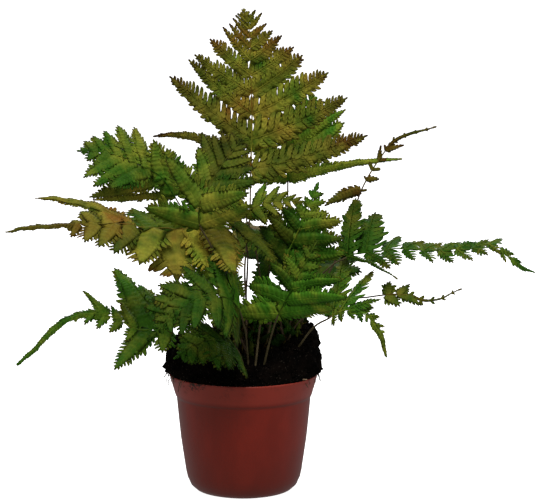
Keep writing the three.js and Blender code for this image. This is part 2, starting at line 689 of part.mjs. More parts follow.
// The first bend of a branch that keeps it clear, or none.
function clearLine(frond, plan, thicket) {
  for (const lengthShare of CLEAR.lengths)
    for (const turn of CLEAR.turns) {
      const line = branchLine(frond, plan, turn, lengthShare);
      const samples = branchSamples(line, plan);
      if (!samples.some((p) => touchesPotOrSoil(p) || thicket.touches(p, frond.name))) {
        for (const p of samples) thicket.add(p, frond.name);
        return line;
      }
    }
  return null;
}

function ringAt(surface, centre, upper, left, halfWidth, halfHeight) {
  const corner = (w, h) => {
    const aside = centre.clone().addScaledVector(left, w * halfWidth);
    return surface.point(aside.addScaledVector(upper, h * halfHeight));
  };
  return [corner(1, 1), corner(-1, 1), corner(-1, -1), corner(1, -1)];
}

function ribRing(surface, frond, share, grow = 0) {
  const { place, upper, left } = ribFrame(frond, share);
  const radius = ribRadius(frond, share) + grow;
  return ringAt(surface, place, upper, left, radius, radius);
}

// The side of a strip between two rings of four corners: 0 upper, 1 right, 2 lower, 3 left.
function stripSide(surface, a, b, side) {
  const next = (side + 1) % 4;
  surface.quad(a[side], a[next], b[next], b[side], side === 2);
}

function pointedEnd(surface, ring, point, upper) {
  const half = FROND.blade / 2;
  const top = surface.point(point.clone().addScaledVector(upper, half));
  const low = surface.point(point.clone().addScaledVector(upper, -half));
  surface.triangle(ring[0], ring[1], top);
  surface.triangle(ring[2], ring[3], low);
  surface.quad(ring[1], ring[2], low, top);
  surface.quad(ring[3], ring[0], top, low);
}

// One leaflet on the right (side 1) or left (side 3) of a branch, between two rings.
function leaflet(surface, a, b, side, tip, up) {
  const half = FROND.blade / 2;
  const top = surface.point(tip.clone().addScaledVector(up, half));
  const low = surface.point(tip.clone().addScaledVector(up, -half));
  const [first, second] = side === 1 ? [a, b] : [b, a];
  const [upper, lower] = side === 1 ? [1, 2] : [0, 3];
  surface.triangle(first[upper], top, second[upper]);
  surface.triangle(first[lower], second[lower], low);
  surface.quad(first[upper], first[lower], low, top);
  surface.quad(top, low, second[lower], second[upper]);
}

// A branch grown from the four corners of the rib's side that it takes the place of.
function branch(surface, root, line, plan) {
  let ring = root;
  for (let k = 0; k < plan.count; k++) {
    const v = (k + 1) / (plan.count + 0.35);
    const frame = line.at(v);
    const half = Math.max(FROND.branchRib, FROND.web * leafletLength(plan, v, 1));
    const next = ringAt(surface, frame.centre, frame.up, frame.left, half, FROND.blade / 2);
    const middle = (k + 0.5) / (plan.count + 0.35);
    const up = line.at(middle).up;
    stripSide(surface, ring, next, 0);
    stripSide(surface, ring, next, 2);
    leaflet(surface, ring, next, 1, leafletTip(line, plan, middle, -1), up);
    leaflet(surface, ring, next, 3, leafletTip(line, plan, middle, 1), up);
    ring = next;
  }
  const tip = line.at(1);
  pointedEnd(surface, ring, tip.centre, tip.up);
}

function frondGeometry(frond, thicket) {
  const surface = new Surface();
  const stalkRings = Math.ceil((frond.long * frond.bare) / FROND.stalkStep);
  let ring = ribRing(surface, frond, 0);
  surface.quad(ring[0], ring[3], ring[2], ring[1]);
  const join = (next, openSides = []) => {
    for (let side = 0; side < 4; side++)
      if (!openSides.includes(side)) stripSide(surface, ring, next, side);
    ring = next;
  };
  for (let i = 1; i < stalkRings; i++) join(ribRing(surface, frond, (frond.bare * i) / stalkRings));
  const hold = FROND.branchHold / frond.long;
  for (let pair = 0; pair < frond.pairs; pair++) {
    const share = branchPlace(frond, pair);
    join(ribRing(surface, frond, share - hold));
    const rear = ring;
    const front = ribRing(surface, frond, share + hold);
    const open = [];
    for (const side of [1, -1]) {
      const plan = branchPlan(frond, pair, side);
      const line = clearLine(frond, plan, thicket);
      if (!line) continue;
      open.push(side === 1 ? 3 : 1);
      const root =
        side === 1 ? [rear[0], front[0], front[3], rear[3]] : [front[1], rear[1], rear[2], front[2]];
      branch(surface, root, line, plan);
    }
    join(front, open);
  }
  const { place, upper } = ribFrame(frond, 1);
  pointedEnd(surface, ring, place, upper);
  return surface.geometry();
}

// The hole in the soil round the foot of a stalk: the stalk's own form, grown by the gap.
function stalkHole(frond) {
  const surface = new Surface();
  const first = ribFrame(frond, 0);
  const below = first.place.clone().addScaledVector(first.run, -2 * GAP);
  const grow = 1.2 * GAP;
  const radius = FROND.stalkRadius + grow;
  let ring = ringAt(surface, below, first.upper, first.left, radius, radius);
  surface.quad(ring[0], ring[3], ring[2], ring[1]);
  const steps = Math.ceil((frond.long * frond.bare) / FROND.stalkStep);
  for (let i = 0; i <= 3; i++) {
    const next = ribRing(surface, frond, (frond.bare * i) / steps, grow);
    for (let side = 0; side < 4; side++) stripSide(surface, ring, next, side);
    ring = next;
  }
  surface.quad(ring[0], ring[1], ring[2], ring[3]);
  return surface.geometry();
}

// ---- the plant ----

function named(name, geometry, colour, roughness) {
  const look = { color: colour, roughness, metalness: 0, flatShading: true };
  const mesh = new THREE.Mesh(geometry, new THREE.MeshStandardMaterial(look));
  mesh.name = name;
  return mesh;
}

FRONDS.forEach((frond, index) => {
  frond.index = index;
  frond.curve = new THREE.CatmullRomCurve3(frond.path.map(vec), false, "catmullrom", 0.5);
  frond.long = frond.curve.getLength();
});

const thicket = new Thicket();
for (const frond of FRONDS)
  for (let d = 0; d <= frond.long; d += CLEAR.step)
    thicket.add(frond.curve.getPointAt(d / frond.long), frond.name);

const plant = new THREE.Group();
plant.add(named("pot", potGeometry(), "#74312a", 0.5));
plant.add(named("soil", soilGeometry(FRONDS.map(stalkHole)), "#0f0c0a", 1));
for (const frond of FRONDS)
  plant.add(named(frond.name, frondGeometry(frond, thicket), frond.colour, 0.6));

export default plant;
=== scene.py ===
import math

import bpy
import numpy as np
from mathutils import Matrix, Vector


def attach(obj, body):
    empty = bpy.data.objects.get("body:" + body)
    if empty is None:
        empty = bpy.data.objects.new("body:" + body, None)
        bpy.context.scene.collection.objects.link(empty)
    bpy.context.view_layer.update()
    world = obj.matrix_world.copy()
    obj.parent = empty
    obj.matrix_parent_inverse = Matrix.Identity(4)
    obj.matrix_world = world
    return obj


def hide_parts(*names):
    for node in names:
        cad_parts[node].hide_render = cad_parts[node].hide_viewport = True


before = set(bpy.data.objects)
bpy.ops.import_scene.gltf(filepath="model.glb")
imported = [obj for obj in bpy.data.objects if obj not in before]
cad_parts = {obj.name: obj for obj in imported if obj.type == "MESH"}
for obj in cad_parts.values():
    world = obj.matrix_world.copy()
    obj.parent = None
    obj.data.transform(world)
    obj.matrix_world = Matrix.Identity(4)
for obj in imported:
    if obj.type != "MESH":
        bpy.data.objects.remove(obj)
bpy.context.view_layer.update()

# ---- the pot ----
# A thin tapered cup of terracotta-coloured polypropylene, moulded in one shot. Its mouth has a
# flared collar with a small step under it, and its foot has a ring of drain holes.

MM = 0.001

POT_RIM_RADIUS = 60
POT_HEIGHT = 96
POT_STEP = 77.6  # height of the small step under the collar
POT_SHADED_FOOT = 50  # painted shade darkens the wall below this height
POT_SIDES = 192

# Radius and height from the middle of the foot out and up to the rim, and back down inside.
POT_OUTSIDE = [(0, 0.9), (20, 0.9), (31, 0.6), (33.2, 0), (35.2, 0), (39.6, 1.3), (43.4, 4.8),
               (45.9, 10.5), (47.1, 16), (50.9, 42), (52.7, 60), (54.1, 75.4), (54.3, 77.2),
               (55.0, 78.1), (55.5, 79.4), (57.8, 87.5), (59.6, 94.2), (60.0, 95.4), (59.8, 96)]
POT_INSIDE = [(59.0, 96), (58.5, 95.3), (56.3, 87.5), (53.7, 78.4), (52.7, 77.2), (51.2, 60),
              (49.4, 42), (45.6, 16), (44.4, 10.5), (42.2, 6.4), (38.8, 3.4), (33, 2.2), (0, 2.2)]
DRAIN_HOLES = 6
DRAIN_RADIUS = 4
DRAIN_RING = 24
DRILL_SIDES = 24
DRILL_ENDS = (-4, 6)  # the holes' drills reach from under the foot into the pot


class Signal:
    """A value inside a material: one output of a node. Arithmetic on signals adds Math nodes."""

    def __init__(self, tree, output=None):
        self.tree = tree
        self.output = output

    def node(self, kind, settings, sockets, output=0):
        """A new node of any kind: its settings are set first, then its sockets are filled."""
        made = self.tree.nodes.new(kind)
        for name, value in settings.items():
            setattr(made, name, value)
        for name, value in sockets.items():
            if isinstance(value, Signal):
                self.tree.links.new(value.output, made.inputs[name])
            else:
                made.inputs[name].default_value = value
        return Signal(self.tree, made.outputs[output])

    def math(self, operation, first, second=0.0):
        return self.node("ShaderNodeMath", {"operation": operation}, {0: first, 1: second})

    def __add__(self, other):
        return self.math("ADD", self, other)

    def __sub__(self, other):
        return self.math("SUBTRACT", self, other)

    def __rsub__(self, other):
        return self.math("SUBTRACT", other, self)

    def __mul__(self, other):
        return self.math("MULTIPLY", self, other)

    def __abs__(self):
        return self.math("ABSOLUTE", self)

    __radd__ = __add__
    __rmul__ = __mul__

    def ramp(self, start, end):
        """0 at start and 1 at end, with a soft change between them."""
        settings = {"interpolation_type": "SMOOTHSTEP"}
        return self.node("ShaderNodeMapRange", settings, {0: self, 1: start, 2: end})

    def blend(self, first, second):
        """A colour: the first where this is 0, the second where it is 1."""
        settings = {"data_type": "RGBA"}
        return self.node("ShaderNodeMix", settings, {0: self, 6: first, 7: second}, 2)

    def noise(self, place, scale, detail=3.0, roughness=0.55):
        """Soft noise between 0 and 1, scale lumps to the metre."""
        sockets = {"Vector": place, "Scale": scale, "Detail": detail, "Roughness": roughness}
        return self.node("ShaderNodeTexNoise", {}, sockets)

    def parts(self):
        """The three numbers of a vector."""
        apart = self.node("ShaderNodeSeparateXYZ", {}, {0: self}).output.node
        return [Signal(self.tree, output) for output in apart.outputs]


def colour(screen):
    """The linear colour of six hexadecimal digits as they look on a screen."""
    parts = [int(screen[i : i + 2], 16) / 255 for i in (0, 2, 4)]
    return (*[p / 12.92 if p < 0.04045 else ((p + 0.055) / 1.055) ** 2.4 for p in parts], 1)


def new_finish(name):
    """An empty material: the material, its Principled shader and a signal to start from."""
    material = bpy.data.materials.new(name)
    material.use_nodes = True
    return material, material.node_tree.nodes["Principled BSDF"], Signal(material.node_tree)


def wire(shader, socket, signal):
    shader.id_data.links.new(signal.output, shader.inputs[socket])


def bumped(start, height, distance):
    """The Normal signal of a surface that is raised by height (0 to 1) times distance."""
    return start.node("ShaderNodeBump", {}, {"Height": height, "Distance": distance})


def new_piece(name, points, quads, triangles, finish, traits=None):
    """A mesh object from arrays: points, four-sided faces, three-sided faces, and traits of the
    points, which the material reads as attributes."""
    mesh = bpy.data.meshes.new(name)
    corners = np.concatenate([np.ravel(quads), np.ravel(triangles)]).astype(np.int32)
    sizes = np.repeat([4, 3], [len(quads), len(triangles)])
    mesh.vertices.add(len(points))
    mesh.vertices.foreach_set("co", np.ravel(points).astype(np.float32))
    mesh.loops.add(len(corners))
    mesh.loops.foreach_set("vertex_index", corners)
    mesh.polygons.add(len(sizes))
    mesh.polygons.foreach_set("loop_start", (np.cumsum(sizes) - sizes).astype(np.int32))
    for trait, values in (traits or {}).items():
        layer = mesh.attributes.new(trait, "FLOAT_VECTOR", "POINT")
        layer.data.foreach_set("vector", np.ravel(values).astype(np.float32))
    mesh.update(calc_edges=True)
    mesh.shade_smooth()
    mesh.materials.append(finish)
    piece = bpy.data.objects.new(name, mesh)
    bpy.context.scene.collection.objects.link(piece)
    return piece


def stacked_faces(rings, around, copies=1):
    """The faces of closed surfaces, each a stack of rings with a point at its foot and its tip:
    four-sided ones from ring to ring, and a fan at each end. The points of one surface are its
    rings in turn, then the foot, then the tip."""
    i = np.arange(around)
    j = (i + 1) % around
    low = np.arange(rings - 1)[:, None] * around
    quads = np.stack([low + i, low + j, low + around + j, low + around + i], -1).reshape(-1, 4)
    foot, tip, last = rings * around, rings * around + 1, (rings - 1) * around
    fans = [np.stack([np.full(around, foot), j, i], -1),
            np.stack([np.full(around, tip), last + i, last + j], -1)]
    fans = np.concatenate(fans)
    shift = np.arange(copies)[:, None, None] * (rings * around + 2)
    return (quads + shift).reshape(-1, 4), (fans + shift).reshape(-1, 3)


def pot_surface():
    """The outline turned about +Z. Towards the mouth the wall leaves the round a little, as
    thin plastic does: radius times 1 + 0.004 cos 2a + 0.002 cos 5a, with a the angle."""
    outline = np.array(POT_OUTSIDE + POT_INSIDE) * MM
    foot, tip = outline[0], outline[-1]
    outline = outline[1:-1]
    angle = np.linspace(0, 2 * np.pi, POT_SIDES, endpoint=False)
    slack = 0.004 * np.cos(2 * angle + 0.7) + 0.002 * np.cos(5 * angle + 2)
    radius = outline[:, :1] * (1 + slack * (outline[:, 1:] / (POT_HEIGHT * MM)) ** 2)
    height = np.broadcast_to(outline[:, 1:], radius.shape)
    rings = np.stack([radius * np.cos(angle), radius * np.sin(angle), height], -1)
    ends = [[0, 0, foot[1]], [0, 0, tip[1]]]
    return np.concatenate([rings.reshape(-1, 3), ends]), len(outline)


points, rings = pot_surface()
quads, fans = stacked_faces(rings, POT_SIDES)
pot_plastic, shader, start = new_finish("pot_plastic")
pot = new_piece("pot_moulded", points, quads, fans, pot_plastic)

# The drain holes are cut through the foot.
angle = np.linspace(0, 2 * np.pi, DRILL_SIDES, endpoint=False)
drills = []
for hole in range(DRAIN_HOLES):
    turn = 2 * np.pi * (hole + 0.5) / DRAIN_HOLES
    middle = DRAIN_RING * MM * np.array([np.cos(turn), np.sin(turn), 0])
    circle = DRAIN_RADIUS * MM * np.stack([np.cos(angle), np.sin(angle), 0 * angle], -1)
    ends = middle + np.array([[0, 0, high] for high in DRILL_ENDS]) * MM
    drills.append(np.concatenate([ends[0] + circle, ends[1] + circle, ends]))
quads, fans = stacked_faces(2, DRILL_SIDES, DRAIN_HOLES)
drill = new_piece("drill", np.concatenate(drills), quads, fans, pot_plastic)
cut = pot.modifiers.new("drain", "BOOLEAN")
cut.object, cut.operation, cut.solver = drill, "DIFFERENCE", "EXACT"
with bpy.context.temp_override(object=pot, active_object=pot):
    bpy.ops.object.modifier_apply(modifier="drain")
bpy.data.objects.remove(drill)

# Its red is uneven: brighter in soft streaks that run up the wall and deeper in wide clouds. It
# is paler on the collar. Painted shade darkens it towards the foot and lies as a thin dark line in
# the step under the collar, and soil has stained the collar's left side.
WALL_RED, STREAK_RED, CLOUD_RED = colour("741005"), colour("82180b"), colour("640b04")
COLLAR_RED, FOOT_SHADE_RED = colour("962e22"), colour("560a04")
STEP_SHADE_BROWN, STAIN_BROWN = colour("4a150f"), colour("160b08")

place = start.node("ShaderNodeTexCoord", {}, {}, 3)
across, _, high = place.parts()
tall = start.node("ShaderNodeMapping", {}, {"Vector": place, "Scale": (1, 1, 0.25)})
streaks = start.noise(tall, 70, 4)
clouds = start.noise(place, 22, 3)
specks = start.noise(place, 520, 2)
base = streaks.ramp(0.35, 0.7).blend(WALL_RED, STREAK_RED)
base = (0.55 * clouds.ramp(0.35, 0.75)).blend(base, CLOUD_RED)
base = (0.7 * high.ramp((POT_STEP + 0.6) * MM, (POT_STEP + 4.4) * MM)).blend(base, COLLAR_RED)
# painted shade: the wall darkens towards the foot
base = (0.6 * (1 - high.ramp(0, POT_SHADED_FOOT * MM))).blend(base, FOOT_SHADE_RED)
# painted shade: a thin dark line in the step under the collar
line = 1 - abs(high - POT_STEP * MM).ramp(0.3 * MM, 1.4 * MM)
base = (0.35 * line).blend(base, STEP_SHADE_BROWN)
stain = high.ramp((POT_HEIGHT - 16) * MM, (POT_HEIGHT - 2) * MM)
stain = stain * start.noise(place, 60, 4).ramp(0.52, 0.62) * specks.ramp(0.4, 0.55)
stain = stain * (0.5 + across.ramp(-POT_RIM_RADIUS / 4 * MM, -POT_RIM_RADIUS / 1.5 * MM))
base = (0.8 * stain).blend(base, STAIN_BROWN)
wire(shader, "Base Color", base)
wire(shader, "Roughness", 0.42 + 0.2 * streaks + 0.2 * stain)
shader.inputs["Specular IOR Level"].default_value = 0.5
shader.inputs["Specular Tint"].default_value = (1, 0.55, 0.35, 1)
shader.inputs["Coat Weight"].default_value = 0.35
shader.inputs["Coat Roughness"].default_value = 0.35
wire(shader, "Normal", bumped(start, 0.7 * streaks + 0.3 * specks, 0.00025))

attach(pot, "root")
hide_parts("pot")

# ---- the soil ----
# The root ball: peat and bark crumbs held by the roots. It fills the pot, stands above the rim
# as a dome with two humps, and slopes down to the rim in front.

SOIL_EDGE_FRONT = 92
SOIL_EDGE_SIDE = 102
SOIL_CROWN = 118
SOIL_OVERHANG = 7
SOIL_WALL_GAP, SOIL_FLOOR_GAP = 0.6, 0.3  # what the pot's inside keeps from the ball
SOIL_HUMPS = [
    # x, y, width, depth, height
    (47, 10, 21, 28, 16),
    (-46, 4, 17, 26, 6),
    (12, -4, 22, 20, 8),
]
SOIL_LUMPS = [(9, 1.1), (3.4, 0.7), (1.5, 0.35)]  # size of a lump and how far it stands up
SOIL_EDGE_LUMPS = [(9, 1.2), (4, 0.8), (1.5, 0.3)]  # the same outwards, at the edge
SOIL_EDGE_SINK = 1.8  # the lumps' middle lies this far inside the overhang
SOIL_SECTORS = 220
SOIL_EDGE_RINGS = 14
SOIL_TOP_RINGS = 64
CRUMBS = 2600
CRUMB_REACH = 60.5  # how far from the middle a crumb may lie
CRUMB_INSET = 2.5  # and how far inside the pot's wall where the soil is low
CRUMB_SIZES = (0.5, 2.2)


def smooth(x):
    x = np.clip(x, 0, 1)
    return x * x * (3 - 2 * x)


def soil_sideways(x, y):
    """0 at the front of the pot and 1 at its sides and back, with a soft change between."""
    return smooth((np.arctan2(y, np.abs(x)) / (np.pi / 2) + 0.85) / 0.55)


def soil_edge(x, y):
    return SOIL_EDGE_FRONT + (SOIL_EDGE_SIDE - SOIL_EDGE_FRONT) * soil_sideways(x, y)


def soil_height(x, y):
    """Height of the root ball above a place, all in millimetres: the edge's height, and from a
    shoulder inwards the crown's with the round humps."""
    shoulder = 0.15 + 0.82 * soil_sideways(x, y)
    rise = 1 - smooth((np.hypot(x, y) / POT_RIM_RADIUS - shoulder) / (1 - shoulder))
    top = SOIL_CROWN
    for hump_x, hump_y, wide, deep, high in SOIL_HUMPS:
        top = top + high * np.exp(-(((x - hump_x) / wide) ** 2) - ((y - hump_y) / deep) ** 2)
    edge = soil_edge(x, y)
    return edge + (top - edge) * rise


def crumbly(points, size, waves=40):
    """Rough noise from about -2 to 2: a sum of plane waves that run in random directions, with
    wavelengths round size."""
    draw = np.random.default_rng(int(size * 1000))
    ways = draw.normal(size=(waves, 3))
    ways /= np.linalg.norm(ways, axis=1, keepdims=True)
    lengths = size * draw.uniform(0.6, 1.8, waves)
    phases = draw.uniform(0, 2 * np.pi, waves)
    total = np.sin(points @ (ways / lengths[:, None]).T * 2 * np.pi + phases).sum(-1)
    return total / math.sqrt(waves)


def lumpy(points, lumps):
    return sum(high * crumbly(points, size) for size, high in lumps)


def soil_surface():
    """Rings from the foot up the pot's inside, round the overhang, whose profile is two quarter
    ellipses, and in over the dome to the crown. The part above the rim is pushed up and outwards
    by lumps of three sizes."""
    angle = np.linspace(0, 2 * np.pi, SOIL_SECTORS, endpoint=False)
    x, y = np.cos(angle), np.sin(angle)
    inside = np.array(POT_INSIDE[:-2])[::-1]
    edge = soil_edge(x, y)
    clear = POT_HEIGHT + 2 * SOIL_FLOOR_GAP
    lean = np.clip((edge - clear) / (SOIL_EDGE_SIDE - clear), 0, 1)
    lip = np.minimum(edge, POT_HEIGHT + SOIL_FLOOR_GAP) - 0.5
    mouth = np.interp(lip, inside[:, 1], inside[:, 0]) - SOIL_WALL_GAP
    walls = inside[inside[:, 1] < SOIL_EDGE_FRONT - 2]
    radii = [np.full(SOIL_SECTORS, radius - SOIL_WALL_GAP) for radius in walls[:, 0]]
    heights = [np.full(SOIL_SECTORS, height + SOIL_FLOOR_GAP) for height in walls[:, 1]]
    smooth_rings = len(walls) + 1
    outer, inner = mouth + SOIL_OVERHANG * lean, np.minimum(0.97 * POT_RIM_RADIUS, mouth)
    for turn in np.linspace(-np.pi / 2, np.pi / 2, SOIL_EDGE_RINGS + 1)[:-1]:
        back, level = (mouth, lip) if turn < 0 else (inner, soil_height(inner * x, inner * y))
        radii.append(back + (outer - back) * np.cos(turn))
        heights.append(edge + (level - edge) * abs(np.sin(turn)))
    for share in np.linspace(1, 0.02, SOIL_TOP_RINGS):
        radii.append(share * inner)
        heights.append(soil_height(radii[-1] * x, radii[-1] * y))
    radii, heights = np.array(radii), np.array(heights)
    rings = np.stack([radii * x, radii * y, heights], -1)
    push = lumpy(rings, SOIL_LUMPS)
    push[:smooth_rings] = 0
    rings[..., 2] += push * np.clip(1.1 - 0.6 * lean * (radii / POT_RIM_RADIUS) ** 8, 0, 1)
    outward = lumpy(rings, SOIL_EDGE_LUMPS) - SOIL_EDGE_SINK * lean
    outward *= np.clip(radii / POT_RIM_RADIUS, 0, 1.2) ** 6 * (0.25 + 0.75 * lean)
    outward[:smooth_rings] = 0
    rings[..., 0] += outward * x
    rings[..., 1] += outward * y
    ends = [[0, 0, inside[0, 1] + SOIL_FLOOR_GAP], [0, 0, soil_height(0, 0)]]
    return np.concatenate([rings.reshape(-1, 3), ends]) * MM, len(rings)


def crumb_surfaces(middles, sizes, draw):
    """Small lumps: a stack of three rings of five points, each point moved in or out by up to a
    third, the whole stretched or flattened along three axes and turned at random."""
    copies = len(middles)
    angle = np.linspace(0, 2 * np.pi, 5, endpoint=False)
    level = np.array([-0.6, 0.05, 0.65])
    wide = np.sqrt(1 - level**2)
    ring = np.stack([wide[:, None] * np.cos(angle), wide[:, None] * np.sin(angle),
                     np.broadcast_to(level[:, None], (3, 5))], -1)
    lump = np.concatenate([ring.reshape(-1, 3), [[0, 0, -1], [0, 0, 1]]])
    lump = lump * draw.uniform(0.68, 1.3, (copies, len(lump), 1))
    lump *= draw.uniform(0.6, 1.3, (copies, 1, 3))
    axes = np.linalg.qr(draw.normal(size=(copies, 3, 3)))[0]
    axes *= np.sign(np.linalg.det(axes))[:, None, None]
    return (middles[:, None] + sizes[:, None, None] * (lump @ axes)).reshape(-1, 3)


soil_peat, shader, start = new_finish("soil_peat")
points, rings = soil_surface()
quads, fans = stacked_faces(rings, SOIL_SECTORS)
soil = new_piece("soil_ball", points, quads, fans, soil_peat)

draw = np.random.default_rng(11)
spot = draw.uniform(-1, 1, (CRUMBS * 2, 2)) * (CRUMB_REACH + 1.5)
spot = spot[np.hypot(*spot.T) < CRUMB_REACH][:CRUMBS]
reach = np.hypot(*spot.T)
inner = np.interp(soil_edge(*spot.T), *np.array(POT_INSIDE[:-2])[::-1].T[::-1]) - CRUMB_INSET
low = soil_sideways(*spot.T) < 0.8
spot *= (np.where(low & (reach > inner), inner, reach) / reach)[:, None]
least, most = CRUMB_SIZES
size = least + (most - least) * draw.random(len(spot)) ** 3
middle = np.stack([*spot.T, soil_height(*spot.T) + 0.3 * size], -1)
quads, fans = stacked_faces(3, 5, len(spot))
crumbs = new_piece("soil_crumbs", crumb_surfaces(middle * MM, size * MM, draw), quads, fans,
                   soil_peat)
crumbs.data.shade_flat()

# Nearly black and dull, with a few paler grains of bark and grit.
WET_PEAT, DRY_PEAT, GRIT = colour("040302"), colour("0e0906"), colour("4b443c")

place = start.node("ShaderNodeTexCoord", {}, {}, 3)
grains = start.noise(place, 900, 2)
patches = start.noise(place, 90, 3)
base = patches.ramp(0.35, 0.7).blend(WET_PEAT, DRY_PEAT)
base = (0.8 * grains.ramp(0.66, 0.72)).blend(base, GRIT)
wire(shader, "Base Color", base)
wire(shader, "Roughness", 0.8 + 0.2 * patches)
shader.inputs["Specular IOR Level"].default_value = 0.03
wire(shader, "Normal", bumped(start, 0.6 * grains + 0.4 * patches, 0.0006))

for piece in (soil, crumbs):
    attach(piece, "root")
    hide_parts("soil")

# ---- the fronds ----
# Each frond is one grown leaf: a wiry stalk that comes out of the soil, a rib, side branches in
# pairs, and on them the leaflets, joined at their feet. Young ones are bronze, older ones green.

LEFT, RIGHT = 1, -1

# What a frond has where its own entry doesn't say otherwise.
USUAL = dict(
    tail=0,  # the share of the rib past the last full branch
    skew=0,  # degrees that branches lean to the tip on the left and away from it on the right
    bulge=1,  # 1 for a triangular outline, more for a rounder one
    droop=0.12,  # how far branches bend down
    full=1.35,  # length of the leaflets against half the width of the solid's branch
    web=(0.66, 0.66),  # share of the leaflets that is joined: towards the tip, towards the soil
    slit=(0.03, 0.03),  # how much leaflets narrow past the web, on the same two sides
    over=0.25,  # height of the web above the branch
    strip=3.5,  # length of the leaflets that stand on the rib
    dark=0.3,  # how much darker the tips of branches are
    stalk=0.5,  # brightness of the bare stalk
    own={},
)
